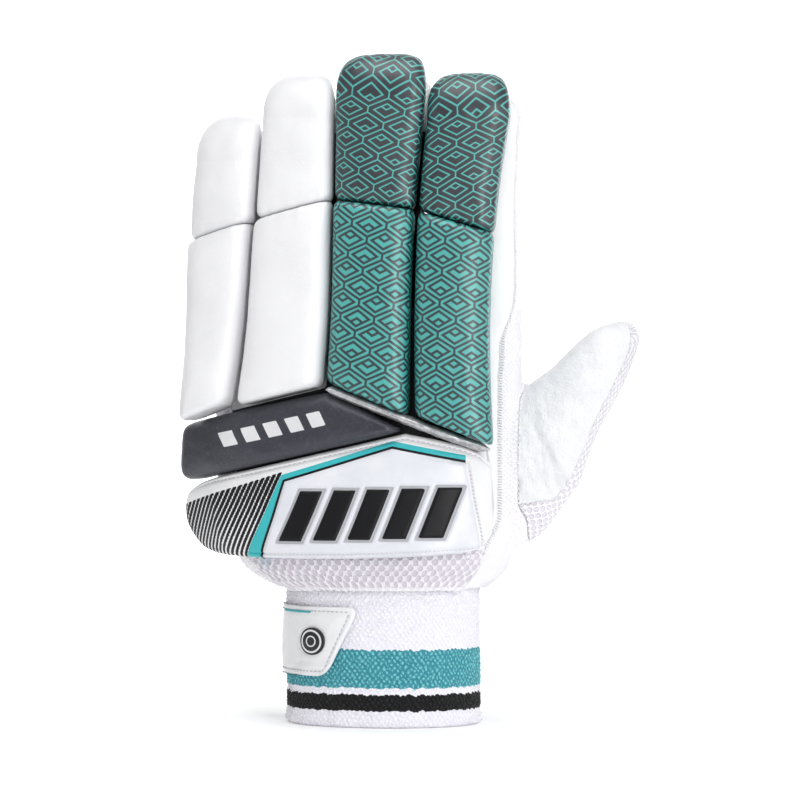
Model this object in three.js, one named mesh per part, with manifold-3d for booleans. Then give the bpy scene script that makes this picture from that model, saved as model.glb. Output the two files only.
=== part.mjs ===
// A left-hand cricket batting glove, standing on its knitted cuff.
// Millimetres, +Z up. The padded back of the hand faces -Y, the leather palm +Y, the thumb points to +X.
// The origin is at the middle of the model's footprint box, on the surface it stands on.
import * as THREE from "three";
import { mergeVertices } from "three/addons/utils/BufferGeometryUtils.js";
import Module from "manifold-3d";

const wasm = await Module();
wasm.setup();

// Driving dimensions
const CUFF = { width: 78, depth: 56, height: 59, wall: 4, hemRound: 1 };
const HAND = { width: 128, depth: 58, length: 111, wristPower: 2, knucklePower: 3.2 };
const FINGER_LENGTH = 105.5; // from the finger crotch to about the longest fingertip
const WALL = 2; // leather, mesh and backing layers
const CLEARANCE = 0.4; // between pieces that are sewn or laid on each other
const FINENESS = 0.13; // details smaller than this are smoothed out of the surfaces
const SKIRT_OVERLAP = 5; // how far the mesh skirt hangs down over the cuff
const SKIRT_HEIGHT = 12.5;
const STALL_GAP = 2.6; // between neighbouring finger stalls
const STALL_DEPTH_END = 0.35; // share of a stall's section left at its very tip
const STALL_TIP_ROUND = 11;
const STALL_ROOT = 0.2; // how far below the crotch a stall starts, as a share of HAND.length
const FORK = 0.15; // how far below the crotch the side walls between the fingers start, as one too
// The arched row of knuckles: depth as a share of HAND.depth, the others of HAND.width, from of HAND.length
const KNUCKLE_ARCH = { depth: 0.138, middle: 0.06, reach: 0.53, from: 0.2 };
const PAD = { gap: 0.8, base: 17, tip: 14.5, embed: 2, wrap: 78, power: 3.6 };
const PAD_CORNER = { seam: 4, tip: 10.5 }; // how much narrower a pad gets on each side at its ends
const PAD_ROUND = { seam: 6, tip: 19 }; // and over which length
const PAD_END = { thin: 0.42, lift: 0.1 }; // thickness left, and lift, at a pad's end, as shares
const BAR = { thickness: 14, endRound: 5, power: 3.2 };
const GUARD = { thickness: 11, endRound: 5, power: 4 };
// The insets are shares of HAND.width.
const PIPING = { width: 3.2, height: 9, power: 2.4, leftInset: 0.004, rightInset: 0.02 };
const STRAP = { thickness: 1.8, height: 27.5, bottom: 20, slant: 0.52, frontX: 0.34, backX: 0.2 };
const BADGE = { radius: 5.4, height: 1.3, along: 0.57, up: 0.5 };
// right and up place the thumb's joint, seam its seam with the hand, as shares of HAND.width and HAND.length
const THUMB = { reach: 48, rise: 30, depth: 30, power: 2.3, right: 0.432, up: 0.48, seam: 0.439 };
const OVAL = 2; // the power of a plain oval section

const SKIRT_BOTTOM = CUFF.height - SKIRT_OVERLAP;
const CROTCH = SKIRT_BOTTOM + HAND.length;
const CUFF_RADII = new THREE.Vector2(CUFF.width / 2, CUFF.depth / 2);

// Sections of the body, from the skirt's hem to the longest fingertip.
// up and finger are shares of HAND.length and FINGER_LENGTH.
// left and right are shares of HAND.width, dorsal and palm of HAND.depth.
const BODY = [
  { up: 0.03, finger: 0, left: -0.39, right: 0.358, dorsal: -0.53, palm: 0.54 },
  { up: 0.08, finger: 0, left: -0.448, right: 0.392, dorsal: -0.51, palm: 0.57 },
  { up: 0.25, finger: 0, left: -0.516, right: 0.42, dorsal: -0.43, palm: 0.585 },
  { up: 0.48, finger: 0, left: -0.54, right: 0.43, dorsal: -0.36, palm: 0.52 },
  { up: 0.7, finger: 0, left: -0.552, right: 0.432, dorsal: -0.29, palm: 0.39 },
  { up: 0.84, finger: 0, left: -0.56, right: 0.432, dorsal: -0.25, palm: 0.29 },
  { up: 1, finger: 0, left: -0.565, right: 0.432, dorsal: -0.216, palm: 0.233 },
  { up: 1, finger: 0.37, left: -0.56, right: 0.432, dorsal: -0.15, palm: 0.265 },
  { up: 1, finger: 0.66, left: -0.55, right: 0.432, dorsal: -0.05, palm: 0.33 },
  { up: 1, finger: 0.95, left: -0.54, right: 0.432, dorsal: 0.085, palm: 0.42 },
].map((row) => ({ ...row, z: SKIRT_BOTTOM + row.up * HAND.length + row.finger * FINGER_LENGTH }));

// How far the edges of the mesh gusset lie before and behind the body's middle plane, as shares of HAND.depth.
const GUSSET = [
  { up: 0, finger: 0, dorsal: -0.3, palm: 0.33 },
  { up: 0.5, finger: 0, dorsal: -0.3, palm: 0.28 },
  { up: 0.85, finger: 0, dorsal: -0.17, palm: 0.14 },
  { up: 1, finger: 0.4, dorsal: -0.11, palm: 0.09 },
  { up: 1, finger: 1, dorsal: -0.09, palm: 0.07 },
].map((row) => ({ ...row, z: SKIRT_BOTTOM + row.up * HAND.length + row.finger * FINGER_LENGTH }));

// The lines between the fingers and beside them, as shares of HAND.width:
// x at the knuckles, at the finger seam and at the tips.
const DIVIDERS = [
  { knuckle: -0.527, seam: -0.552, tip: -0.528 },
  { knuckle: -0.386, seam: -0.354, tip: -0.345 },
  { knuckle: -0.13, seam: -0.12, tip: -0.134 },
  { knuckle: 0.129, seam: 0.128, tip: 0.155 },
  { knuckle: 0.361, seam: 0.367, tip: 0.422 },
];
const DIVIDER_HEIGHTS = [
  SKIRT_BOTTOM + 0.61 * HAND.length,
  CROTCH + 0.37 * FINGER_LENGTH,
  CROTCH + 0.86 * FINGER_LENGTH,
];

// How far the index finger's stall stands out beside its pads.
const SIDE_STRIP = [
  { z: CROTCH - STALL_ROOT * HAND.length, size: 3 },
  { z: CROTCH, size: 10 },
  { z: CROTCH + 0.45 * FINGER_LENGTH, size: 6.5 },
  { z: CROTCH + 0.9 * FINGER_LENGTH, size: 2 },
];

// top and seam are shares of FINGER_LENGTH above the crotch.
// seamSlope is the slant of the seam between a finger's two pads, yaw its turn about the vertical in degrees.
const FINGERS = [
  { name: "little", top: 0.792, seam: 0.294, seamSlope: 0.27, yaw: -20, isPrinted: false },
  { name: "ring", top: 0.944, seam: 0.373, seamSlope: 0.24, yaw: -10, isPrinted: false },
  { name: "middle", top: 1.018, seam: 0.388, seamSlope: -0.13, yaw: -3, isPrinted: true },
  { name: "index", top: 0.937, seam: 0.319, seamSlope: -0.3, yaw: 3, isPrinted: true },
];

// Two slanting lines across the back of the hand, each a shallow roof.
// The finger pads end at the upper one and the guard at the lower.
const KNUCKLE_LINE = { apex: -0.129, up: 0.72, left: 0.23, right: 0.4 };
const GUARD_LINE = { apex: 0.1, up: 0.558, left: 0.235, right: 0.21 };

// The knuckle bar: x as a share of HAND.width, top and bottom as shares of the band between those two lines.
const BAR_STATIONS = [
  { x: -0.6, bottom: 0.14, top: 0.86 },
  { x: -0.575, bottom: 0.03, top: 0.95 },
  { x: -0.48, bottom: 0, top: 0.96 },
  { x: -0.3, bottom: 0, top: 0.96 },
  { x: -0.14, bottom: 0, top: 0.93 },
  { x: -0.02, bottom: 0, top: 0.8 },
  { x: 0.05, bottom: 0.02, top: 0.55 },
  { x: 0.085, bottom: 0.08, top: 0.32 },
];

// The guard below it: bottom is a share of HAND.length.
// drop is how far the top lies under the guard line, as one too.
const GUARD_STATIONS = [
  { x: -0.6, bottom: 0.28, drop: 0.07 },
  { x: -0.575, bottom: 0.2, drop: 0.025 },
  { x: -0.515, bottom: 0.13, drop: 0.004 },
  { x: -0.35, bottom: 0.113, drop: 0 },
  { x: -0.1, bottom: 0.113, drop: 0 },
  { x: 0.1, bottom: 0.12, drop: 0 },
  { x: 0.22, bottom: 0.128, drop: 0 },
  { x: 0.285, bottom: 0.145, drop: 0.012 },
  { x: 0.325, bottom: 0.205, drop: 0.05 },
];

// The thumb's upper and lower edge in the front view, as shares of reach and rise from the joint.
// depth and back are its half depth and how far back its middle lies, as shares of THUMB.depth.
const THUMB_STATIONS = [
  { upper: [-0.29, 0.62], lower: [-0.33, -1.1], depth: 0.5, back: 0.2 },
  { upper: [-0.04, 0.82], lower: [0.12, -0.98], depth: 0.48, back: 0.25 },
  { upper: [0.09, 0.98], lower: [0.33, -0.69], depth: 0.46, back: 0.3 },
  { upper: [0.25, 1.15], lower: [0.48, -0.31], depth: 0.44, back: 0.34 },
  { upper: [0.43, 1.44], lower: [0.6, 0.2], depth: 0.41, back: 0.38 },
  { upper: [0.59, 1.66], lower: [0.73, 0.62], depth: 0.37, back: 0.42 },
  { upper: [0.73, 1.74], lower: [0.84, 0.97], depth: 0.31, back: 0.46 },
  { upper: [0.84, 1.77], lower: [0.93, 1.32], depth: 0.22, back: 0.48 },
  { upper: [0.93, 1.7], lower: [0.97, 1.52], depth: 0.1, back: 0.5 },
];
// The plane between its leather and its mesh, along the thumb's axis through one of its stations.
const THUMB_SPLIT = { axisRight: 0.9, axisUp: 1.9, station: 4, turn: 62, ahead: 1.5 };
// Where the surface that parts the layers has its corners, and how far out it follows the arched knuckles
const CURTAIN = {
  right: [-1, -0.6, -0.45, -0.3, -0.1, 0.1, 0.3, 0.45, 1],
  up: [-0.3, 0.2, 0.5, 0.75, 0.9, 1],
  finger: [0.3, 0.6, 1.3],
  archLeft: -0.625,
  archRight: 0.469,
};

const MATERIALS = {
  white_pu: { color: 0xf2f2f4, roughness: 0.45, metalness: 0 },
  white_leather: { color: 0xeeefef, roughness: 0.6, metalness: 0 },
  white_mesh: { color: 0xe4e2ea, roughness: 0.85, metalness: 0 },
  knit: { color: 0xeeedf3, roughness: 0.95, metalness: 0 },
  dark_print: { color: 0x2f4f55, roughness: 0.35, metalness: 0 },
  teal_print: { color: 0x3fa9a4, roughness: 0.35, metalness: 0 },
  grey_pu: { color: 0x46474f, roughness: 0.4, metalness: 0 },
  silver: { color: 0xb9b8ba, roughness: 0.3, metalness: 0.6 },
  badge_black: { color: 0x17181b, roughness: 0.35, metalness: 0 },
};

const degrees = THREE.MathUtils.degToRad;
const UP = new THREE.Vector3(0, 0, 1);

// A closed body through rings of equally many points, with a fan over each end.
function loft(rings) {
  const count = rings[0].length;
  const last = (rings.length - 1) * count;
  const points = rings.flat();
  const triangles = [];
  for (let row = 0; row < last; row += count)
    for (let i = 0; i < count; i++) {
      const next = (i + 1) % count;
      triangles.push([row + i, row + next, row + count + next], [row + i, row + count + next, row + count + i]);
    }
  for (const start of [0, last]) {
    const ring = points.slice(start, start + count);
    const centre = ring.reduce((sum, p) => sum.add(p), new THREE.Vector3()).divideScalar(count);
    const hub = points.push(centre) - 1;
    for (let i = 0; i < count; i++) {
      const pair = [start + i, start + ((i + 1) % count)];
      triangles.push(start ? [hub, ...pair] : [hub, ...pair.reverse()]);
    }
  }
  const volume = triangles.reduce((sum, [a, b, c]) => {
    return sum + points[a].dot(new THREE.Vector3().crossVectors(points[b], points[c]));
  }, 0);
  if (volume < 0) triangles.forEach((triangle) => triangle.reverse());
  const geometry = new THREE.BufferGeometry().setFromPoints(points);
  geometry.setIndex(triangles.flat());
  return toSolid(geometry);
}

function toSolid(geometry) {
  const bare = geometry.clone();
  bare.deleteAttribute("normal");
  bare.deleteAttribute("uv");
  const merged = mergeVertices(bare, 1e-4);
  return new wasm.Manifold(
    new wasm.Mesh({
      numProp: 3,
      vertProperties: merged.attributes.position.array,
      triVerts: new Uint32Array(merged.index.array),
    }),
  );
}

function toMesh(name, solid, material) {
  const { vertProperties, triVerts } = solid.simplify(FINENESS).getMesh();
  const geometry = new THREE.BufferGeometry();
  geometry.setAttribute("position", new THREE.BufferAttribute(vertProperties, 3));
  geometry.setIndex(new THREE.BufferAttribute(triVerts, 1));
  geometry.computeVertexNormals();
  const mesh = new THREE.Mesh(geometry, new THREE.MeshStandardMaterial(MATERIALS[material]));
  mesh.name = name;
  return mesh;
}

const union = (solids) => solids.reduce((whole, one) => whole.add(one));

// A column of a table of sections at height z, through a smooth curve.
function sample(rows, z, column) {
  const last = rows.length - 1;
  let i = rows.findIndex((row) => row.z > z) - 1;
  if (i < 0) i = z < rows[0].z ? 0 : last - 1;
  const share = THREE.MathUtils.clamp((z - rows[i].z) / (rows[i + 1].z - rows[i].z), 0, 1);
  const slope = (j) => {
    const [before, after] = [rows[Math.max(j - 1, 0)], rows[Math.min(j + 1, last)]];
    return (after[column] - before[column]) / (after.z - before.z);
  };
  const step = rows[i + 1].z - rows[i].z;
  const [s2, s3] = [share ** 2, share ** 3];
  return (
    (2 * s3 - 3 * s2 + 1) * rows[i][column] +
    (s3 - 2 * s2 + share) * step * slope(i) +
    (3 * s2 - 2 * s3) * rows[i + 1][column] +
    (s3 - s2) * step * slope(i + 1)
  );
}

const signedPower = (value, power) => Math.sign(value) * Math.abs(value) ** power;

// Points of a rounded box section: across and out run from -1 to 1.
function roundedSection(count, power) {
  return Array.from({ length: count }, (_, i) => {
    const angle = (2 * Math.PI * (i + 0.5)) / count;
    return { across: signedPower(Math.cos(angle), 2 / power), out: signedPower(Math.sin(angle), 2 / power) };
  });
}

// The body's own section at a height: its middle and half sizes.
function bodySection(z, inset = 0) {
  const [left, right] = ["left", "right"].map((side) => sample(BODY, z, side) * HAND.width);
  const [dorsal, palm] = ["dorsal", "palm"].map((side) => sample(BODY, z, side) * HAND.depth);
  return {
    x: (left + right) / 2,
    y: (dorsal + palm) / 2,
    halfWidth: (right - left) / 2 - inset,
    halfDepth: (palm - dorsal) / 2 - inset,
  };
}

// How far the arched row of knuckles falls back at x. The arch fades out towards the wrist.
function arch(x, z) {
  const { depth, middle, reach, from } = KNUCKLE_ARCH;
  const knuckles = depth * HAND.depth * ((x / HAND.width - middle) / reach) ** 2;
  return knuckles * THREE.MathUtils.smoothstep(z, SKIRT_BOTTOM + from * HAND.length, CROTCH);
}

const sectionPower = (z) =>
  THREE.MathUtils.lerp(HAND.wristPower, HAND.knucklePower, THREE.MathUtils.smoothstep(z, SKIRT_BOTTOM, CROTCH));

function sectionRing({ x, y, halfWidth, halfDepth }, z, power, count) {
  return roundedSection(count, power).map(
    ({ across, out }) => new THREE.Vector3(x + across * halfWidth, y + out * halfDepth, z),
  );
}

const HEM_SECTION = {
  x: 0,
  y: 0,
  halfWidth: CUFF_RADII.x + CLEARANCE + WALL,
  halfDepth: CUFF_RADII.y + CLEARANCE + WALL,
};
const HAND_SHARES = [0.03, 0.08, 0.16, 0.27, 0.42, 0.58, 0.74, 0.88, 1];
const HAND_SEGMENTS = 20;

// The palm part of the body. Inset by the wall it is the space inside, which runs out through the hem.
function handSolid(inset) {
  const { halfWidth, halfDepth } = HEM_SECTION;
  const hem = { ...HEM_SECTION, halfWidth: halfWidth - inset, halfDepth: halfDepth - inset };
  const rings = [sectionRing(hem, SKIRT_BOTTOM - (inset > 0 ? WALL : 0), OVAL, HAND_SEGMENTS)];
  for (const share of HAND_SHARES) {
    const z = SKIRT_BOTTOM + share * HAND.length - (share === 1 ? inset : 0);
    const ring = sectionRing(bodySection(z, inset), z, sectionPower(z), HAND_SEGMENTS);
    rings.push(ring.map((p) => p.setY(p.y + arch(p.x, z))));
  }
  return loft(rings);
}

function dividerX(index, z) {
  const { knuckle, seam, tip } = DIVIDERS[index];
  const [low, mid, high] = DIVIDER_HEIGHTS;
  const share = (a, b, c) => ((z - b) * (z - c)) / ((a - b) * (a - c));
  const curve = knuckle * share(low, mid, high) + seam * share(mid, low, high) + tip * share(high, low, mid);
  return HAND.width * curve;
}

// A finger's own frame at a height: the middle of its stall, the directions across and out of it, its half sizes.
function fingerFrame(index, z) {
  const yaw = degrees(FINGERS[index].yaw);
  const left = dividerX(index, z);
  const right = dividerX(index + 1, z);
  const x = (left + right) / 2;
  const section = bodySection(z);
  return {
    middle: new THREE.Vector3(x, section.y + arch(x, z), z),
    across: new THREE.Vector3(Math.cos(yaw), Math.sin(yaw), 0),
    out: new THREE.Vector3(Math.sin(yaw), -Math.cos(yaw), 0),
    halfPitch: (right - left) / 2 / Math.cos(yaw),
    halfDepth: section.halfDepth,
  };
}

const padTop = (index) => CROTCH + FINGERS[index].top * FINGER_LENGTH;

// The middle of the fingertip, which the tip pad wraps round.
function tipCentre(index) {
  const top = padTop(index);
  const { halfDepth } = bodySection(top - PAD.tip - STALL_TIP_ROUND);
  return top - (halfDepth + PAD.tip - PAD.embed);
}

const STALL_SHARES = [0, 0.3, 0.6, 0.85];
const STALL_TIP_SHARES = [1, 0.7, 0.4, 0.14, 0];
const STALL_START = 0.88; // a stall's size where it starts inside the hand, as a share
const STALL_SEGMENTS = 12;

function stallSolid(index, inset) {
  const start = CROTCH - STALL_ROOT * HAND.length + Math.min(inset, 0);
  const centre = tipCentre(index);
  const end = centre + fingerFrame(index, centre).halfDepth - inset;
  const straight = end - STALL_TIP_ROUND;
  const isInside = inset > 0;
  const shares = isInside ? STALL_SHARES.slice(0, 3) : STALL_SHARES;
  const heights = shares.map((share, i) => [THREE.MathUtils.lerp(start, straight, share), i ? 1 : STALL_START]);
  for (const share of isInside ? STALL_TIP_SHARES.filter((_, i) => i % 2 === 0) : STALL_TIP_SHARES) {
    const round = Math.sqrt(1 - (1 - share) ** 2);
    heights.push([end - share * STALL_TIP_ROUND, STALL_DEPTH_END + (1 - STALL_DEPTH_END) * round]);
  }
  const rings = heights.map(([z, size]) => {
    const { middle, across, out, halfPitch, halfDepth } = fingerFrame(index, z);
    const strip = index === FINGERS.length - 1 ? sample(SIDE_STRIP, z, "size") : 0;
    const halfWidth = (halfPitch - STALL_GAP / 2 + strip / 2 - inset) * size;
    const shifted = middle.clone().addScaledVector(across, strip / 2);
    return roundedSection(STALL_SEGMENTS, PAD.power).map((p) =>
      shifted
        .clone()
        .addScaledVector(across, p.across * halfWidth)
        .addScaledVector(out, p.out * (halfDepth - inset) * size),
    );
  });
  return loft(rings);
}

const THUMB_SEGMENTS = 16;

// The thumb's section at one of its stations.
function thumbRing({ upper, lower, depth, back }, inset) {
  const joint = new THREE.Vector3(HAND.width * THUMB.right, 0, SKIRT_BOTTOM + THUMB.up * HAND.length);
  const place = ([acrossShare, upShare]) =>
    joint.clone().add(new THREE.Vector3(acrossShare * THUMB.reach, back * THUMB.depth, upShare * THUMB.rise));
  const [high, low] = [place(upper), place(lower)];
  const middle = high.clone().add(low).divideScalar(2);
  const across = high.sub(low);
  const halfWidth = Math.max(across.length() / 2 - inset, 0.6);
  const halfDepth = Math.max(depth * THUMB.depth - inset, 0.6);
  across.normalize();
  return roundedSection(THUMB_SEGMENTS, THUMB.power).map((p) =>
    middle
      .clone()
      .addScaledVector(across, p.across * halfWidth)
      .add(new THREE.Vector3(0, p.out * halfDepth, 0)),
  );
}

function thumbSolid(inset) {
  const stations = inset > 0 ? THUMB_STATIONS.slice(0, -1) : THUMB_STATIONS;
  return loft(stations.map((station) => thumbRing(station, inset)));
}

const FINGER_INDEXES = FINGERS.map((_, index) => index);
const bodySolid = (inset) =>
  union([handSolid(inset), thumbSolid(inset), ...FINGER_INDEXES.map((index) => stallSolid(index, inset))]);

// Everything on the palm's side of a gusset edge, moved back by an offset.
function curtain(edge, offset) {
  const reach = 2 * HAND.width;
  const xs = CURTAIN.right.map((share) => share * HAND.width);
  const zs = CURTAIN.up.map((share) => SKIRT_BOTTOM + share * HAND.length);
  zs.push(...CURTAIN.finger.map((share) => CROTCH + share * FINGER_LENGTH));
  const [archLeft, archRight] = [CURTAIN.archLeft * HAND.width, CURTAIN.archRight * HAND.width];
  const rings = zs.map((z) => {
    const middle = bodySection(z).y + sample(GUSSET, z, edge) * HAND.depth + offset;
    const depth = (x) => middle + arch(THREE.MathUtils.clamp(x, archLeft, archRight), z);
    const front = xs.map((x) => new THREE.Vector3(x, depth(x), z));
    return [...front, new THREE.Vector3(xs.at(-1), reach, z), new THREE.Vector3(xs[0], reach, z)];
  });
  return loft(rings);
}

// A block that fills everything between two x values and two heights.
function block(xLow, xHigh, zLow, zHigh) {
  const [width, height] = [xHigh - xLow, zHigh - zLow];
  const box = new THREE.BoxGeometry(width, 6 * HAND.depth, height);
  return toSolid(box.translate(xLow + width / 2, 0, zLow + height / 2));
}

const HIGH = CROTCH + 2 * FINGER_LENGTH;
const WIDE = 3 * HAND.width;

// Without the slivers that a seam cuts off.
const larger = (best, one) => (one.volume() > best.volume() ? one : best);
const mainBody = (solid) => solid.decompose().reduce(larger);

// The sewn layers: one shell, parted along its seams.
function shellPieces() {
  const shell = bodySolid(0).subtract(bodySolid(WALL));
  const jointX = HAND.width * THUMB.seam;
  const halfGap = CLEARANCE / 2;
  const glove = shell.intersect(block(-WIDE, jointX - halfGap, 0, HIGH));
  const thumb = shell.intersect(block(jointX + halfGap, WIDE, 0, HIGH));
  const palm = glove.intersect(curtain("palm", halfGap));
  const front = glove.subtract(curtain("dorsal", -halfGap));
  const sides = glove.subtract(curtain("palm", -halfGap)).intersect(curtain("dorsal", halfGap));
  const skirtTop = SKIRT_BOTTOM + SKIRT_HEIGHT;
  const pieces = [
    ["palm_panel", palm, "white_leather"],
    ["back_panel", front.intersect(block(-WIDE, WIDE, skirtTop + halfGap, HIGH)), "white_pu"],
    ["skirt_mesh", front.intersect(block(-WIDE, WIDE, 0, skirtTop - halfGap)), "white_mesh"],
  ];
  const tips = FINGER_INDEXES.map((index) => fingerFrame(index, tipCentre(index)).middle.x);
  const edges = [-WIDE, ...tips, WIDE];
  const names = ["gusset_outer", "fourchette_little", "fourchette_ring", "fourchette_middle", "gusset_inner"];
  const splitZ = CROTCH - FORK * HAND.length;
  names.forEach((name, i) => {
    const low = i === 0 ? [-WIDE, 0] : [0, WIDE];
    const reach = block(edges[i] + halfGap, edges[i + 1] - halfGap, splitZ, HIGH);
    const whole = i === 0 || i === names.length - 1 ? reach.add(block(...low, 0, splitZ + CLEARANCE)) : reach;
    pieces.push([name, sides.intersect(whole), "white_mesh"]);
  });
  const ring = thumbRing(THUMB_STATIONS[THUMB_SPLIT.station], 0);
  const middle = ring.reduce((sum, p) => sum.add(p), new THREE.Vector3()).divideScalar(THUMB_SEGMENTS);
  const { axisRight, axisUp, ahead } = THUMB_SPLIT;
  const axis = new THREE.Vector3(THUMB.reach * axisRight, 0, THUMB.rise * axisUp).normalize();
  const downRight = new THREE.Vector3(axis.z, 0, -axis.x);
  const turn = degrees(THUMB_SPLIT.turn);
  const normal = downRight.multiplyScalar(Math.cos(turn)).add(new THREE.Vector3(0, Math.sin(turn), 0));
  const offset = middle.dot(normal) - ahead;
  const toArray = (v) => [v.x, v.y, v.z];
  const mesh = thumb.trimByPlane(toArray(normal), offset + halfGap);
  const leather = thumb.trimByPlane(toArray(normal.negate()), -offset + halfGap);
  pieces.push(["thumb_leather", leather, "white_leather"], ["thumb_mesh", mesh, "white_mesh"]);
  return pieces;
}

const roof = (line, x) => {
  const run = x - line.apex * HAND.width;
  return SKIRT_BOTTOM + line.up * HAND.length - (run < 0 ? -run * line.left : run * line.right);
};

// How a pad narrows and thins within a rounded end, at a distance from that end.
function endShape(distance, round) {
  const k = Math.sqrt(1 - (1 - Math.min(distance / round, 1)) ** 2);
  return { narrow: 1 - k, thick: PAD_END.thin + (1 - PAD_END.thin) * k, lift: PAD_END.lift * (1 - k) };
}

const PAD_SEGMENTS = 14;
const END_SHARES = [0, 0.12, 0.45, 1];

// A pad along a path: place(run) gives the frame at a distance along it, slant(run) how its section is sheared.
// far names the kind of its far end, a key of PAD_ROUND and PAD_CORNER.
function padSolid(length, thickness, stations, far, place, slant) {
  const [nearRound, farRound] = [PAD_ROUND.seam, PAD_ROUND[far]];
  const between = stations.map((share) => THREE.MathUtils.lerp(nearRound, length - farRound, share));
  const nearRuns = END_SHARES.map((share) => share * nearRound);
  const farRuns = END_SHARES.map((share) => length - share * farRound).reverse();
  const rings = [...nearRuns, ...between, ...farRuns].map((run) => {
    const isNear = run < length / 2;
    const { narrow, thick, lift } = isNear ? endShape(run, nearRound) : endShape(length - run, farRound);
    const corner = isNear ? PAD_CORNER.seam : PAD_CORNER[far];
    return roundedSection(PAD_SEGMENTS, PAD.power).map((p) => {
      const halfWidth = place(run).halfPitch - PAD.gap / 2 - corner * narrow;
      const across = p.across * halfWidth;
      const frame = place(run + slant(run) * across);
      const height = thickness * (lift + (thick * (1 + p.out)) / 2) - PAD.embed;
      return frame.base.clone().addScaledVector(frame.across, across).addScaledVector(frame.out, height);
    });
  });
  return loft(rings);
}

function basePad(index) {
  const { seam, seamSlope, isPrinted } = FINGERS[index];
  const seamZ = CROTCH + seam * FINGER_LENGTH - PAD.gap / 2;
  const x = fingerFrame(index, DIVIDER_HEIGHTS[0]).middle.x;
  const piped = isPrinted ? PIPING.width / 2 : 0;
  const bottomZ = roof(KNUCKLE_LINE, x) + piped + PAD.gap / 2;
  const bottomSlope = isPrinted ? -KNUCKLE_LINE.right : KNUCKLE_LINE.left;
  const length = seamZ - bottomZ;
  const place = (run) => {
    const frame = fingerFrame(index, bottomZ + run);
    return { ...frame, base: frame.middle.clone().addScaledVector(frame.out, frame.halfDepth) };
  };
  const slant = (run) => THREE.MathUtils.lerp(bottomSlope, seamSlope, run / length);
  return padSolid(length, PAD.base, [0.33, 0.67], "seam", place, slant);
}

function tipPad(index) {
  const { seam, seamSlope } = FINGERS[index];
  const seamZ = CROTCH + seam * FINGER_LENGTH + PAD.gap / 2;
  const centre = tipCentre(index);
  const straight = centre - seamZ;
  const reach = fingerFrame(index, centre).halfDepth + PAD.tip / 2 - PAD.embed;
  const length = straight + reach * degrees(PAD.wrap);
  const place = (run) => {
    const frame = fingerFrame(index, seamZ + Math.min(run, straight));
    const turn = Math.max(run - straight, 0) / reach;
    const out = frame.out.clone().multiplyScalar(Math.cos(turn)).addScaledVector(UP, Math.sin(turn));
    return { ...frame, out, base: frame.middle.clone().addScaledVector(out, frame.halfDepth) };
  };
  const slant = (run) => seamSlope * THREE.MathUtils.clamp(1 - run / straight, 0, 1);
  return padSolid(length, PAD.tip, [0.3, 0.6, 0.8], "tip", place, slant);
}

// The outer surface of the back of the hand at x and z, and the direction out of it.
// Past this share of the half width it goes on straight, as a stiff pad does.
const FLAT_SHARE = 0.88;
function dorsalPlace(x, z) {
  const { x: middle, y, halfWidth, halfDepth } = bodySection(z);
  const power = sectionPower(z);
  const reach = halfWidth * FLAT_SHARE;
  const depthAt = (at) => {
    const share = Math.abs((at - middle) / halfWidth);
    return y - halfDepth * (1 - share ** power) ** (1 / power) + arch(at, z);
  };
  const step = HAND.width / 200;
  const near = middle + THREE.MathUtils.clamp(x - middle, -reach, reach);
  const slope = (depthAt(near + step) - depthAt(near - step)) / (2 * step);
  const base = new THREE.Vector3(x, depthAt(near) + slope * (x - near), z);
  return { base, out: new THREE.Vector3(slope, -1, 0).normalize() };
}

// A pad that lies across the hand: each station gives x, bottom and top.
function crossPad(stations, { thickness, endRound, power }) {
  const ends = [stations[0].x, stations.at(-1).x];
  const rings = stations.map(({ x, bottom, top }) => {
    const distance = Math.min(Math.abs(x - ends[0]), Math.abs(x - ends[1]));
    const { thick, lift } = endShape(distance, endRound);
    return roundedSection(PAD_SEGMENTS, power).map((p) => {
      const z = (bottom + top) / 2 + (p.across * (top - bottom)) / 2;
      const { base, out } = dorsalPlace(x, z);
      return base.addScaledVector(out, thickness * (lift + (thick * (1 + p.out)) / 2) - PAD.embed);
    });
  });
  return loft(rings);
}

function knuckleBar() {
  const stations = BAR_STATIONS.map(({ x: share, bottom, top }) => {
    const x = share * HAND.width;
    const [low, high] = [roof(GUARD_LINE, x) + PAD.gap / 2, roof(KNUCKLE_LINE, x) - PAD.gap / 2];
    return { x, bottom: low + bottom * (high - low), top: low + top * (high - low) };
  });
  return crossPad(stations, BAR);
}

function backhandGuard() {
  const stations = GUARD_STATIONS.map(({ x: share, bottom, drop }) => {
    const x = share * HAND.width;
    const top = roof(GUARD_LINE, x) - PAD.gap / 2 - drop * HAND.length;
    return { x, bottom: SKIRT_BOTTOM + bottom * HAND.length, top };
  });
  return crossPad(stations, GUARD);
}

const PIPING_STEPS = 8;
const PIPING_SEGMENTS = 10;

// A raised roll along the lower ends of the two printed fingers' pads, grown on every side for a clearance.
function knucklePiping(grow) {
  const first = (KNUCKLE_LINE.apex + PIPING.leftInset) * HAND.width;
  const last = (DIVIDERS.at(-1).knuckle - PIPING.rightInset) * HAND.width;
  const rings = Array.from({ length: PIPING_STEPS + 1 }, (_, i) => {
    const x = THREE.MathUtils.lerp(first - grow, last + grow, i / PIPING_STEPS);
    const { base, out } = dorsalPlace(x, roof(KNUCKLE_LINE, x));
    return roundedSection(PIPING_SEGMENTS, PIPING.power).map((p) =>
      base
        .clone()
        .addScaledVector(UP, p.across * (PIPING.width / 2 + grow))
        .addScaledVector(out, (PIPING.height * (1 + p.out)) / 2 - PAD.embed + grow * p.out),
    );
  });
  return loft(rings);
}

const CUFF_SEGMENTS = 32;

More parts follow.
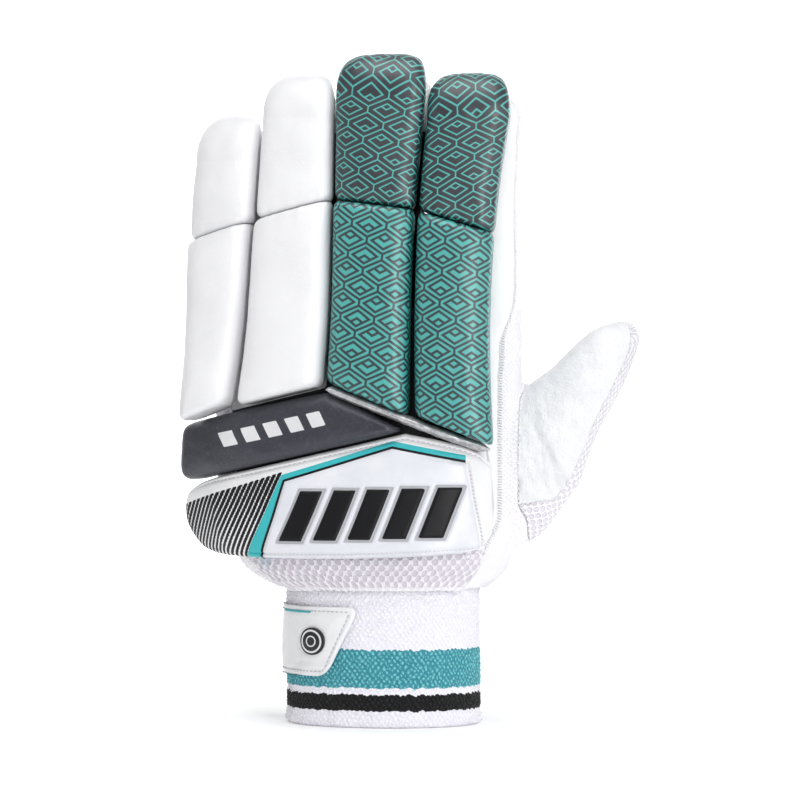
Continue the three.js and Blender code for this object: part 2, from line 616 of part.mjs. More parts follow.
// An oval post, grown from the cuff's outer face.
function cuffPost(grow, low, high, round = 0) {
  const ring = (z, less) => {
    const [halfWidth, halfDepth] = CUFF_RADII.toArray().map((radius) => radius + grow - less);
    return sectionRing({ x: 0, y: 0, halfWidth, halfDepth }, z, OVAL, CUFF_SEGMENTS);
  };
  if (round === 0) return loft([ring(low, 0), ring(high, 0)]);
  return loft([ring(low, round), ring(low + round, 0), ring(high - round, 0), ring(high, round)]);
}

const wristCuff = () =>
  cuffPost(0, 0, CUFF.height, CUFF.hemRound).subtract(
    cuffPost(-CUFF.wall, -CUFF.wall, CUFF.height + CUFF.wall),
  );

// A point on an oval round the cuff, by its angle from the middle of the back towards the little finger.
const roundCuff = (angle, grow, z) =>
  new THREE.Vector3(-Math.sin(angle) * (CUFF_RADII.x + grow), -Math.cos(angle) * (CUFF_RADII.y + grow), z);

const STRAP_STEPS = 16;
const SLANTED_SHARE = 1 / 3; // how much of the strap the slant of its front end fades over
const STRAP_START = Math.asin(STRAP.frontX);
const STRAP_END = Math.PI + Math.asin(STRAP.backX);

function wristStrap() {
  const rings = Array.from({ length: STRAP_STEPS + 1 }, (_, i) => {
    const share = i / STRAP_STEPS;
    const slant = (STRAP.slant / CUFF_RADII.x) * (1 - Math.min(share / SLANTED_SHARE, 1));
    const [low, high] = [STRAP.bottom, STRAP.bottom + STRAP.height];
    const middle = (low + high) / 2;
    return [
      [0, low],
      [0, high],
      [CLEARANCE + STRAP.thickness, high],
      [CLEARANCE + STRAP.thickness, low],
    ].map(([grow, z]) => {
      const angle = THREE.MathUtils.lerp(STRAP_START, STRAP_END, share) - slant * (z - middle);
      return roundCuff(angle, grow, z);
    });
  });
  return loft(rings).subtract(cuffPost(CLEARANCE, 0, CUFF.height));
}

function strapBadge() {
  const face = CLEARANCE + STRAP.thickness;
  const angle = Math.asin(BADGE.along);
  const z = STRAP.bottom + BADGE.up * STRAP.height;
  const deep = 2 * BADGE.height;
  const disc = new THREE.CylinderGeometry(BADGE.radius, BADGE.radius, deep, 24);
  const out = new THREE.Vector3(-Math.sin(angle) * CUFF_RADII.y, -Math.cos(angle) * CUFF_RADII.x, 0);
  out.normalize();
  disc.applyQuaternion(new THREE.Quaternion().setFromUnitVectors(new THREE.Vector3(0, 1, 0), out));
  const { x, y } = roundCuff(angle, face, z);
  disc.translate(x, y, z);
  return toSolid(disc).subtract(cuffPost(face + CLEARANCE, 0, CUFF.height));
}

const glove = new THREE.Group();
glove.name = "batting_glove";
for (const [name, solid, material] of shellPieces()) glove.add(toMesh(name, mainBody(solid), material));

const seat = bodySolid(-CLEARANCE);
const pipedSeat = seat.add(knucklePiping(CLEARANCE));
for (const index of FINGER_INDEXES) {
  const { name, isPrinted } = FINGERS[index];
  const [baseMaterial, tipMaterial] = isPrinted ? ["teal_print", "dark_print"] : ["white_pu", "white_pu"];
  glove.add(toMesh(`${name}_base_pad`, basePad(index).subtract(pipedSeat), baseMaterial));
  glove.add(toMesh(`${name}_tip_pad`, tipPad(index).subtract(seat), tipMaterial));
}
glove.add(toMesh("knuckle_bar", knuckleBar().subtract(pipedSeat), "grey_pu"));
glove.add(toMesh("backhand_guard", backhandGuard().subtract(pipedSeat), "white_pu"));
glove.add(toMesh("knuckle_piping", knucklePiping(0).subtract(seat), "silver"));
glove.add(toMesh("wrist_cuff", wristCuff(), "knit"));
glove.add(toMesh("wrist_strap", wristStrap(), "white_pu"));
glove.add(toMesh("strap_badge", strapBadge(), "badge_black"));

const footprint = new THREE.Box3().setFromObject(glove).getCenter(new THREE.Vector3());
glove.position.set(-footprint.x, -footprint.y, 0);

export default glove;
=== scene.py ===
"""The looks of a left-hand cricket batting glove, made over the solids of the same glove.

Shapes are worked out in millimetres from the cuff's axis, then placed in the model's frame.
-Y is the padded back of the hand, +X the thumb's side, +Z the fingertips.
"""

import math

import bpy
import numpy as np
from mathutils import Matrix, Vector


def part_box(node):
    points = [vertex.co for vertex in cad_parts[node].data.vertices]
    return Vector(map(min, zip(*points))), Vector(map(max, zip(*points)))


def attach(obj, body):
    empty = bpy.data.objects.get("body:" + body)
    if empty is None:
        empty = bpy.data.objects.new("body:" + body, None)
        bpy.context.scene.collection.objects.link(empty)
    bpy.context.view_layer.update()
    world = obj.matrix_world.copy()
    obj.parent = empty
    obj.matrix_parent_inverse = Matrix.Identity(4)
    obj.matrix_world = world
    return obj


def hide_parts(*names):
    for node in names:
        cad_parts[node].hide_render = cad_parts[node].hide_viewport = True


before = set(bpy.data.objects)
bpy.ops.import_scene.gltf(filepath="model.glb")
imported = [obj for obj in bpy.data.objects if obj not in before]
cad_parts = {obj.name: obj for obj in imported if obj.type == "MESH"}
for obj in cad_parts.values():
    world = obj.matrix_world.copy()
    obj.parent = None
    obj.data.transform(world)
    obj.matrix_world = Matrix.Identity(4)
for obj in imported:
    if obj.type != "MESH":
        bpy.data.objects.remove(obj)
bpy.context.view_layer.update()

MM = 0.001
ROOT = "root"
cuff_low, cuff_high = (np.array(corner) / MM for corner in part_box("wrist_cuff"))
CUFF_AXIS = np.array([(cuff_low[0] + cuff_high[0]) / 2, (cuff_low[1] + cuff_high[1]) / 2, 0.0])

# Driving dimensions, in millimetres
CUFF_WIDTH, CUFF_DEPTH, CUFF_HEIGHT, CUFF_WALL = 78.0, 56.0, 59.0, 4.0
HAND_WIDTH, HAND_DEPTH, HAND_LENGTH = 128.0, 58.0, 111.0
WRIST_POWER, KNUCKLE_POWER = 2.0, 3.2
FINGER_LENGTH = 105.5
WALL = 1.8
SKIRT_BOTTOM = CUFF_HEIGHT - 5.0
SKIRT_HEIGHT = 12.5
CROTCH = SKIRT_BOTTOM + HAND_LENGTH
STALL_GAP, STALL_TIP_ROUND, STALL_DEPTH_END = 2.6, 11.0, 0.35
PAD_GAP, PAD_EMBED, PAD_WRAP = 0.35, 2.0, math.radians(78)
BASE_THICKNESS, TIP_THICKNESS, BAR_THICKNESS, GUARD_THICKNESS = 17.0, 14.5, 14.0, 11.0
THUMB_REACH, THUMB_RISE, THUMB_DEPTH = 48.0, 30.0, 30.0

# Sections of the body: up and finger are shares of the hand's and the fingers' length above the skirt's hem,
# left and right shares of the hand's width, dorsal and palm shares of its depth.
BODY = {
    "up": [0.03, 0.08, 0.25, 0.48, 0.7, 0.84, 1, 1, 1, 1],
    "finger": [0, 0, 0, 0, 0, 0, 0, 0.37, 0.66, 0.95],
    "left": [-0.39, -0.448, -0.516, -0.54, -0.552, -0.56, -0.565, -0.56, -0.55, -0.54],
    "right": [0.358, 0.392, 0.42, 0.43, 0.432, 0.432, 0.432, 0.432, 0.432, 0.432],
    "dorsal": [-0.53, -0.51, -0.43, -0.36, -0.29, -0.25, -0.216, -0.15, -0.05, 0.085],
    "palm": [0.54, 0.57, 0.585, 0.52, 0.39, 0.29, 0.233, 0.265, 0.33, 0.42],
}
# How far the edges of the mesh sides lie before and behind the body's middle plane.
GUSSET = {
    "up": [0, 0.5, 0.85, 1, 1],
    "finger": [0, 0, 0, 0.4, 1],
    "dorsal": [-0.3, -0.3, -0.17, -0.11, -0.09],
    "palm": [0.33, 0.28, 0.14, 0.09, 0.07],
}
# Lines between the fingers, as shares of the hand's width at the knuckles, the finger seams and the tips.
DIVIDERS = [
    (-0.527, -0.552, -0.528),
    (-0.386, -0.354, -0.345),
    (-0.13, -0.12, -0.134),
    (0.129, 0.128, 0.155),
    (0.361, 0.367, 0.422),
]
DIVIDER_HEIGHTS = (
    SKIRT_BOTTOM + 0.61 * HAND_LENGTH,
    CROTCH + 0.37 * FINGER_LENGTH,
    CROTCH + 0.86 * FINGER_LENGTH,
)
# name, top and seam as shares of the fingers' length, slant of the seam, turn about the vertical in degrees
FINGERS = [
    ("little", 0.792, 0.294, 0.27, -20),
    ("ring", 0.944, 0.373, 0.24, -10),
    ("middle", 1.018, 0.388, -0.13, -3),
    ("index", 0.937, 0.319, -0.3, 3),
]
# How far the index finger's stall stands out beside its pads: height above the crotch, size.
STRIP_HEIGHTS = [CROTCH - 0.2 * HAND_LENGTH, CROTCH, CROTCH + 0.45 * FINGER_LENGTH, CROTCH + 0.9 * FINGER_LENGTH]
STRIP_SIZES = [3.0, 10.0, 6.5, 2.0]
# apex as a share of the width, height as a share of the length, slopes to the left and right
KNUCKLE_LINE = (-0.129, 0.72, 0.23, 0.4)
GUARD_LINE = (0.1, 0.558, 0.235, 0.21)
# x as a share of the width, bottom and top as shares of the band between those two lines
BAR_STATIONS = {
    "x": [-0.6, -0.575, -0.48, -0.3, -0.14, -0.02, 0.05, 0.085],
    "bottom": [0.14, 0.03, 0, 0, 0, 0, 0.02, 0.08],
    "top": [0.86, 0.95, 0.96, 0.96, 0.93, 0.8, 0.55, 0.32],
}
GUARD_STATIONS = {
    "x": [-0.6, -0.575, -0.515, -0.35, -0.1, 0.1, 0.22, 0.3, 0.345],
    "bottom": [0.28, 0.2, 0.13, 0.113, 0.113, 0.12, 0.128, 0.145, 0.205],
    "drop": [0.07, 0.025, 0.004, 0, 0, 0, 0, 0.012, 0.05],
}
# The thumb's upper and lower edge in the front view, its half depth and how far back it lies.
THUMB = {
    "upper_x": [-0.29, -0.04, 0.09, 0.25, 0.43, 0.59, 0.73, 0.84, 0.93],
    "upper_z": [0.62, 0.82, 0.98, 1.15, 1.44, 1.66, 1.74, 1.77, 1.7],
    "lower_x": [-0.33, 0.12, 0.33, 0.48, 0.6, 0.73, 0.84, 0.93, 0.97],
    "lower_z": [-1.4, -1.12, -0.72, -0.31, 0.2, 0.62, 0.97, 1.32, 1.52],
    "depth": [0.5, 0.48, 0.46, 0.44, 0.41, 0.37, 0.31, 0.22, 0.1],
    "back": [0.2, 0.25, 0.3, 0.34, 0.38, 0.42, 0.46, 0.48, 0.5],
}


# Arithmetic on arrays


def through(knots, values, at):
    """A smooth curve through the values at the knots, level past both ends."""
    knots = np.asarray(knots, float)
    values = np.asarray(values, float)
    slopes = np.empty_like(values)
    slopes[1:-1] = (values[2:] - values[:-2]) / (knots[2:] - knots[:-2])
    slopes[0] = (values[1] - values[0]) / (knots[1] - knots[0])
    slopes[-1] = (values[-1] - values[-2]) / (knots[-1] - knots[-2])
    i = np.clip(np.searchsorted(knots, at, side="right") - 1, 0, len(knots) - 2)
    step = knots[i + 1] - knots[i]
    s = np.clip((at - knots[i]) / step, 0, 1)
    start = (2 * s**3 - 3 * s**2 + 1) * values[i] + (s**3 - 2 * s**2 + s) * step * slopes[i]
    end = (3 * s**2 - 2 * s**3) * values[i + 1] + (s**3 - s**2) * step * slopes[i + 1]
    return start + end


def smooth(value, low, high):
    s = np.clip((value - low) / (high - low), 0, 1)
    return s * s * (3 - 2 * s)


def bump(distance, width):
    return np.exp(-((distance / width) ** 2))


def lerp(a, b, share):
    return a + (b - a) * share


def signed_power(value, power):
    return np.sign(value) * np.abs(value) ** power


def unit(vectors):
    return vectors / np.maximum(np.linalg.norm(vectors, axis=-1, keepdims=True), 1e-9)


def ripple(seed, *axes, octaves=3):
    """Smooth noise between about -1 and 1: a few crossed waves. The axes are already in wavelengths."""
    rng = np.random.default_rng(seed)
    total = 0
    for octave in range(octaves):
        for _ in range(4):
            direction = rng.normal(size=len(axes))
            direction *= 2 * math.pi * 2**octave / np.linalg.norm(direction)
            phase = rng.uniform(0, 2 * math.pi)
            wave = sum(d * a for d, a in zip(direction, axes))
            total = total + np.sin(wave + phase) / 2**octave / 3
    return total


def section(count, power, start=-math.pi / 2):
    """Across and out of a rounded box, from -1 to 1, evenly spaced along its outline."""
    angles = start + np.linspace(0, 2 * math.pi, 4001)
    outline = np.stack([signed_power(np.cos(angles), 2 / power), signed_power(np.sin(angles), 2 / power)], 1)
    lengths = np.concatenate([[0], np.cumsum(np.linalg.norm(np.diff(outline, axis=0), axis=1))])
    even = np.linspace(0, lengths[-1], count, endpoint=False)
    return np.interp(even, lengths, outline[:, 0]), np.interp(even, lengths, outline[:, 1])


# The hand's form


BODY_HEIGHTS = SKIRT_BOTTOM + np.array(BODY["up"]) * HAND_LENGTH + np.array(BODY["finger"]) * FINGER_LENGTH
GUSSET_HEIGHTS = SKIRT_BOTTOM + np.array(GUSSET["up"]) * HAND_LENGTH + np.array(GUSSET["finger"]) * FINGER_LENGTH


def body_section(z):
    """The middle and half sizes of the hand's section at a height: x, y, half width, half depth."""
    left, right = (through(BODY_HEIGHTS, BODY[side], z) * HAND_WIDTH for side in ("left", "right"))
    dorsal, palm = (through(BODY_HEIGHTS, BODY[side], z) * HAND_DEPTH for side in ("dorsal", "palm"))
    return (left + right) / 2, (dorsal + palm) / 2, (right - left) / 2, (palm - dorsal) / 2


def arch(x, z):
    """How far the arched row of knuckles falls back at x. It fades out towards the wrist."""
    knuckles = 0.138 * HAND_DEPTH * ((x - 0.06 * HAND_WIDTH) / (0.53 * HAND_WIDTH)) ** 2
    return knuckles * smooth(z, SKIRT_BOTTOM + 0.2 * HAND_LENGTH, CROTCH)


def section_power(z):
    return lerp(WRIST_POWER, KNUCKLE_POWER, smooth(z, SKIRT_BOTTOM, CROTCH))


def hand_ring(z, angles):
    """Points of the hand's outline at one height."""
    x, y, half_width, half_depth = body_section(z)
    hem_share = np.clip((SKIRT_BOTTOM + 0.03 * HAND_LENGTH - z) / (0.03 * HAND_LENGTH), 0, 1)
    hem = (0.0, 0.0, CUFF_WIDTH / 2 + 2.4, CUFF_DEPTH / 2 + 2.4)
    x, y, half_width, half_depth = (lerp(a, b, hem_share) for a, b in zip((x, y, half_width, half_depth), hem))
    power = section_power(z)
    xs = x + half_width * signed_power(np.cos(angles), 2 / power)
    ys = y + half_depth * signed_power(np.sin(angles), 2 / power) + arch(xs, z)
    return np.stack([xs, ys, np.full_like(xs, z)], -1)


def divider_x(index, z):
    a, b, c = DIVIDER_HEIGHTS
    knuckle, seam, tip = DIVIDERS[index]
    at_knuckle = (z - b) * (z - c) / ((a - b) * (a - c))
    at_seam = (z - a) * (z - c) / ((b - a) * (b - c))
    at_tip = (z - a) * (z - b) / ((c - a) * (c - b))
    return HAND_WIDTH * (knuckle * at_knuckle + seam * at_seam + tip * at_tip)


def finger_frame(index, z):
    """Middle of a finger's stall, the directions across and out of it, half pitch and half depth."""
    z = np.asarray(z, float)
    yaw = math.radians(FINGERS[index][4])
    left, right = divider_x(index, z), divider_x(index + 1, z)
    x = (left + right) / 2
    _, y, _, half_depth = body_section(z)
    middle = np.stack([x, y + arch(x, z), z], -1)
    across = np.array([math.cos(yaw), math.sin(yaw), 0.0])
    out = np.array([math.sin(yaw), -math.cos(yaw), 0.0])
    return middle, across, out, (right - left) / 2 / math.cos(yaw), half_depth


def tip_centre(index):
    """The middle of a fingertip, which the tip pad wraps round."""
    top = CROTCH + FINGERS[index][1] * FINGER_LENGTH
    half_depth = body_section(top - TIP_THICKNESS - STALL_TIP_ROUND)[3]
    return float(top - (half_depth + TIP_THICKNESS - PAD_EMBED))


def edge_y(edge, x, z):
    """Where the mesh sides meet the palm or the back layer."""
    middle = body_section(z)[1] + through(GUSSET_HEIGHTS, GUSSET[edge], z) * HAND_DEPTH
    return middle + arch(np.clip(x, -80, 60), z)


def stall_rings(index, count=64):
    start = CROTCH - 0.2 * HAND_LENGTH
    centre = tip_centre(index)
    end = centre + float(finger_frame(index, centre)[4])
    straight = end - STALL_TIP_ROUND
    straights = np.linspace(start, straight, 50, endpoint=False)
    rounds = end - STALL_TIP_ROUND * (1 - np.sin(np.linspace(0, math.pi / 2, 14)))
    across_share, out_share = section(count, 3.6)
    rings = []
    for z in np.concatenate([straights, rounds]):
        share = np.clip((end - z) / STALL_TIP_ROUND, 0, 1)
        size = STALL_DEPTH_END + (1 - STALL_DEPTH_END) * math.sqrt(max(1 - (1 - share) ** 2, 0))
        size = min(size, lerp(0.88, 1, float(smooth(z, start, start + 0.3 * (straight - start)))))
        middle, across, out, half_pitch, half_depth = finger_frame(index, z)
        strip = float(through(STRIP_HEIGHTS, STRIP_SIZES, z)) if index == 3 else 0.0
        half_width = (half_pitch - STALL_GAP / 2 + strip / 2) * size
        centre_point = middle + across * strip / 2
        ring = centre_point + np.outer(across_share * half_width, across) + np.outer(out_share * half_depth * size, out)
        rings.append(ring)
    return np.array(rings)


def thumb_rings(count=56):
    knots = np.arange(len(THUMB["depth"]), dtype=float)
    at = np.concatenate([np.linspace(0, knots[-1] - 1, 60, endpoint=False), knots[-1] - 1 + np.sin(np.linspace(0, 1.5, 14))])
    value = {key: through(knots, column, at) for key, column in THUMB.items()}
    joint = np.array([HAND_WIDTH * 0.432, 0.0, SKIRT_BOTTOM + 0.48 * HAND_LENGTH])
    zero = np.zeros_like(at)
    upper = joint + np.stack([value["upper_x"] * THUMB_REACH, zero, value["upper_z"] * THUMB_RISE], 1)
    lower = joint + np.stack([value["lower_x"] * THUMB_REACH, zero, value["lower_z"] * THUMB_RISE], 1)
    middle = (upper + lower) / 2 + np.stack([zero, value["back"] * THUMB_DEPTH, zero], 1)
    across = (upper - lower) / 2
    across_share, out_share = section(count, 2.3)
    depth = np.stack([zero, value["depth"] * THUMB_DEPTH, zero], 1)
    return middle[:, None] + across_share[None, :, None] * across[:, None] + out_share[None, :, None] * depth[:, None]


# Making meshes


def make_object(name, points, faces, materials, uv=None, numbers=None, replaces=(), is_smooth=True):
    """An object from points in millimetres. uv and numbers hold a value for each point."""
    mesh = bpy.data.meshes.new(name)
    points = (np.asarray(points, float) + CUFF_AXIS) * MM
    mesh.from_pydata(points.tolist(), [], [tuple(int(i) for i in face) for face in faces])
    if uv is not None:
        layer = mesh.uv_layers.new(name="cover")
        corners = np.empty(len(mesh.loops), dtype=np.int32)
        mesh.loops.foreach_get("vertex_index", corners)
        layer.data.foreach_set("uv", (np.asarray(uv, float)[corners] / 10).ravel())
    for key, values in (numbers or {}).items():
        attribute = mesh.attributes.new(key, "FLOAT", "POINT")
        attribute.data.foreach_set("value", np.asarray(values, float).ravel())
    if is_smooth:
        mesh.polygons.foreach_set("use_smooth", [True] * len(mesh.polygons))
    for material in materials:
        mesh.materials.append(material)
    mesh.validate()
    piece = bpy.data.objects.new(name, mesh)
    bpy.context.scene.collection.objects.link(piece)
    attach(piece, ROOT)
    if replaces:
        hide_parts(*replaces)
    return piece


def ring_faces(rows, columns, is_open=False):
    """Quads between rings, and a fan's worth of triangles over each end unless it is open."""
    row, column = np.meshgrid(np.arange(rows - 1), np.arange(columns), indexing="ij")
    following = (column + 1) % columns
    quads = np.stack(
        [row * columns + column, row * columns + following, (row + 1) * columns + following, (row + 1) * columns + column], -1
    ).reshape(-1, 4)
    faces = [tuple(quad) for quad in quads.tolist()]
    if not is_open:
        faces.append(tuple(range(columns))[::-1])
        faces.append(tuple(range((rows - 1) * columns, rows * columns)))
    return faces


def sheet_faces(rows, columns):
    row, column = np.meshgrid(np.arange(rows - 1), np.arange(columns - 1), indexing="ij")
    first = row * columns + column
    return np.stack([first, first + 1, first + columns + 1, first + columns], -1).reshape(-1, 4).tolist()


def triangle_normals(points, triangles):
    """Smooth normals at the points."""
    corner = points[triangles]
    normals = np.cross(corner[:, 1] - corner[:, 0], corner[:, 2] - corner[:, 0])
    total = np.zeros_like(points)
    for i in range(3):
        np.add.at(total, triangles[:, i], normals)
    return unit(total)


def grid_normals(grid):
    """Normals of a grid of points, rows by columns."""
    return unit(np.cross(np.gradient(grid, axis=1), np.gradient(grid, axis=0)))


def clip(points, triangles, field):
    """The part of a triangle mesh where the field is positive, cut cleanly along its zero line."""
    field = np.where(np.abs(field) < 1e-3, 1e-3, field)
    keep = field > 0
    kept = keep[triangles].sum(1)
    pieces = [triangles[kept == 3]]
    one = triangles[kept == 1]
    one = np.take_along_axis(one, (np.argmax(keep[one], 1)[:, None] + np.arange(3)) % 3, 1)
    two = triangles[kept == 2]
    two = np.take_along_axis(two, (np.argmin(keep[two], 1)[:, None] + np.arange(3)) % 3, 1)
    edges = np.concatenate([one[:, [0, 1]], one[:, [0, 2]], two[:, [0, 1]], two[:, [0, 2]]])
    edges.sort(axis=1)
    unique, inverse = np.unique(edges, axis=0, return_inverse=True)
    inverse = inverse.reshape(-1) + len(points)
    a, b = field[unique[:, 0]], field[unique[:, 1]]
    share = (a / (a - b))[:, None]
    cuts = points[unique[:, 0]] * (1 - share) + points[unique[:, 1]] * share
    first, second, third, fourth = np.split(inverse, np.cumsum([len(one), len(one), len(two)]))
    pieces.append(np.stack([one[:, 0], first, second], 1))
    pieces.append(np.stack([third, two[:, 1], two[:, 2]], 1))
    pieces.append(np.stack([third, two[:, 2], fourth], 1))
    every = np.concatenate(pieces)
    used, renumbered = np.unique(every, return_inverse=True)
    return np.concatenate([points, cuts])[used], renumbered.reshape(-1, 3)


def border_paths(points, triangles):
    """The open edges of a triangle mesh, chained into paths of point indexes."""
    edges = np.concatenate([triangles[:, [0, 1]], triangles[:, [1, 2]], triangles[:, [2, 0]]])
    forward = {tuple(edge) for edge in edges.tolist()}
    after = {a: b for a, b in forward if (b, a) not in forward}
    paths = []
    while after:
        start, point = after.popitem()
        path = [start, point]
        while point in after:
            point = after.pop(point)
            path.append(point)
        paths.append(path)
    return [path for path in paths if len(path) > 20]


def stitch_mesh(name, path, normals, material, pitch=2.2, length=1.5, radius=0.28, slant=0.0, lift=0.1):
    """A row of sewn stitches along a path: small rounded threads, slanted to it by an angle."""
    path = np.asarray(path, float)
    normals = unit(np.asarray(normals, float))
    run = np.concatenate([[0], np.cumsum(np.linalg.norm(np.diff(path, axis=0), axis=1))])
    at = np.arange(pitch / 2, run[-1], pitch)
    centre = np.stack([np.interp(at, run, path[:, k]) for k in range(3)], 1)
    ahead = np.stack([np.interp(at + 0.5, run, path[:, k]) for k in range(3)], 1)
    behind = np.stack([np.interp(at - 0.5, run, path[:, k]) for k in range(3)], 1)
    normal = unit(np.stack([np.interp(at, run, normals[:, k]) for k in range(3)], 1))
    along = unit(ahead - behind)
    side = unit(np.cross(normal, along))
    direction = along * math.cos(slant) + side * math.sin(slant)
    side = unit(np.cross(normal, direction))
    shares = np.array([-1, -0.8, -0.35, 0.35, 0.8, 1.0])
    sizes = np.array([0.25, 0.75, 1, 1, 0.75, 0.25])
    sinks = np.array([-0.8, -0.25, 0, 0, -0.25, -0.8]) * radius
    turns = np.linspace(0, 2 * math.pi, 6, endpoint=False)
    points = []
    for share, size, sink in zip(shares, sizes, sinks):
        spine = centre + direction * share * length / 2 + normal * (lift + sink)
        for turn in turns:
            points.append(spine + (side * math.cos(turn) + normal * math.sin(turn)) * radius * size)
    points = np.stack(points, 1)
    one = ring_faces(len(shares), len(turns))
    count = points.shape[1]
    faces = [tuple(i + k * count for i in face) for k in range(len(at)) for face in one]
    return make_object(name, points.reshape(-1, 3), faces, [material])


def cord_mesh(name, path, normals, material, width, height, lift=0.0):
    """A raised roll along a path."""
    path = np.asarray(path, float)
    normals = unit(np.asarray(normals, float))
    along = unit(np.gradient(path, axis=0))
    side = unit(np.cross(normals, along))
    turns = np.linspace(0, 2 * math.pi, 8, endpoint=False)
    ends = np.ones(len(path))
    ends[0] = ends[-1] = 0.3
    rings = []
    for turn in turns:
        across = math.cos(turn) * width / 2 * ends
        out = lift + math.sin(turn) * height / 2 * ends
        rings.append(path + side * across[:, None] + normals * out[:, None])
    points = np.stack(rings, 1).reshape(-1, 3)
    return make_object(name, points, ring_faces(len(path), len(turns)), [material])


# Arithmetic in materials


class Field:
    """A number in a material's node tree, so that shading can be written as sums."""

    def __init__(self, tree, socket):
        self.tree = tree
        self.socket = socket

    def _math(self, operation, *others):
        node = self.tree.nodes.new("ShaderNodeMath")
        node.operation = operation
        for i, value in enumerate((self, *others)):
            if isinstance(value, Field):
                self.tree.links.new(value.socket, node.inputs[i])
            else:
                node.inputs[i].default_value = value
        return Field(self.tree, node.outputs[0])

    def __add__(self, other):
        return self._math("ADD", other)

    def __radd__(self, other):
        return self._math("ADD", other)

    def __sub__(self, other):
        return self._math("SUBTRACT", other)

    def __rsub__(self, other):
        return (self * -1) + other

    def __mul__(self, other):
        return self._math("MULTIPLY", other)

    def __rmul__(self, other):
        return self._math("MULTIPLY", other)

    def __truediv__(self, other):
        return self._math("DIVIDE", other)

    def __abs__(self):
        return self._math("ABSOLUTE")

    def power(self, other):
        return self._math("POWER", other)

    def sine(self):
        return self._math("SINE")

    def lesser(self, other):
        return self._math("MINIMUM", other)

    def greater(self, other):
        return self._math("MAXIMUM", other)

    def wrapped(self, period):
        """From -period / 2 to period / 2."""
        return self._math("WRAP", period / 2, -period / 2)

    def above(self, low, high):
        """0 below low, 1 above high, smooth between."""
        node = self.tree.nodes.new("ShaderNodeMapRange")
        node.interpolation_type = "SMOOTHSTEP"
        self.tree.links.new(self.socket, node.inputs["Value"])
        node.inputs["From Min"].default_value = min(low, high)
        node.inputs["From Max"].default_value = max(low, high)
        if low > high:
            node.inputs["To Min"].default_value = 1.0
            node.inputs["To Max"].default_value = 0.0
        return Field(self.tree, node.outputs["Result"])

    def choose(self, high, low):
        """high where this is 1, low where it is 0."""
        node = self.tree.nodes.new("ShaderNodeMix")
        self.tree.links.new(self.socket, node.inputs[0])
        for i, value in ((2, low), (3, high)):
            if isinstance(value, Field):
                self.tree.links.new(value.socket, node.inputs[i])
            else:
                node.inputs[i].default_value = value
        return Field(self.tree, node.outputs[0])


class Finish:
    """A material under construction."""

    def __init__(self, name, color, roughness, **settings):
        self.material = bpy.data.materials.new(name)
        self.material.use_nodes = True
        self.tree = self.material.node_tree
        self.shader = self.tree.nodes["Principled BSDF"]
        self.shader.inputs["Base Color"].default_value = (*color, 1)
        self.shader.inputs["Roughness"].default_value = roughness
        self.material.diffuse_color = (*color, 1)
        for key, value in settings.items():
            self.shader.inputs[key].default_value = value
        self.heights = []

    def _axes(self, socket):
        node = self.tree.nodes.new("ShaderNodeSeparateXYZ")
        self.tree.links.new(socket, node.inputs[0])
        return [Field(self.tree, output) for output in node.outputs]

    def place(self):
        """x, y and z in millimetres from the cuff's axis."""
        node = self.tree.nodes.new("ShaderNodeTexCoord")
        x, y, z = self._axes(node.outputs["Object"])
        return x * 1000 - float(CUFF_AXIS[0]), y * 1000 - float(CUFF_AXIS[1]), z * 1000

    def cover(self):
        """The two coordinates laid over a piece, in millimetres."""
        node = self.tree.nodes.new("ShaderNodeUVMap")
        node.uv_map = "cover"
        u, v, _ = self._axes(node.outputs[0])
        return u * 10, v * 10

    def number(self, name):
        node = self.tree.nodes.new("ShaderNodeAttribute")
        node.attribute_name = name
        return Field(self.tree, node.outputs["Fac"])

    def _vector(self, axes):
        node = self.tree.nodes.new("ShaderNodeCombineXYZ")
        for i, axis in enumerate(axes):
            self.tree.links.new(axis.socket, node.inputs[i])
        return node.outputs[0]

    def noise(self, size, detail=2.0, axes=None, roughness=0.5):
        """Noise from 0 to 1 with features of a size in millimetres."""
        node = self.tree.nodes.new("ShaderNodeTexNoise")
        node.inputs["Scale"].default_value = 1.0 / size
        node.inputs["Detail"].default_value = detail
        node.inputs["Roughness"].default_value = roughness
        self.tree.links.new(self._vector(axes or self.place()), node.inputs["Vector"])
        return Field(self.tree, node.outputs["Fac"])

    def cells(self, size, axes=None, feature="F1"):
        """Distance to the nearest of scattered points, in cell sizes."""
        node = self.tree.nodes.new("ShaderNodeTexVoronoi")
        node.feature = feature
        node.inputs["Scale"].default_value = 1.0 / size
        self.tree.links.new(self._vector(axes or self.place()), node.inputs["Vector"])
        return Field(self.tree, node.outputs["Distance"])

    def mix(self, share, high, low):
        """A colour: high where share is 1, low where it is 0. Each is a colour or another mix."""
        node = self.tree.nodes.new("ShaderNodeMix")
        node.data_type = "RGBA"
        self.tree.links.new(share.socket, node.inputs[0])
        for i, value in ((6, low), (7, high)):
            if isinstance(value, tuple):
                node.inputs[i].default_value = (*value, 1)
            else:
                self.tree.links.new(value, node.inputs[i])
        return node.outputs[2]

    def color(self, socket):
        self.tree.links.new(socket, self.shader.inputs["Base Color"])

    def rough(self, field):
        self.tree.links.new(field.socket, self.shader.inputs["Roughness"])

    def relief(self, field, height, strength=1.0):
        """Adds a bump: the field is from 0 to 1, the height in millimetres."""
        node = self.tree.nodes.new("ShaderNodeBump")
        node.inputs["Distance"].default_value = height * MM
        node.inputs["Strength"].default_value = strength
        self.tree.links.new(field.socket, node.inputs["Height"])
        if self.heights:
            self.tree.links.new(self.heights[-1], node.inputs["Normal"])
        self.heights.append(node.outputs[0])
        self.tree.links.new(node.outputs[0], self.shader.inputs["Normal"])


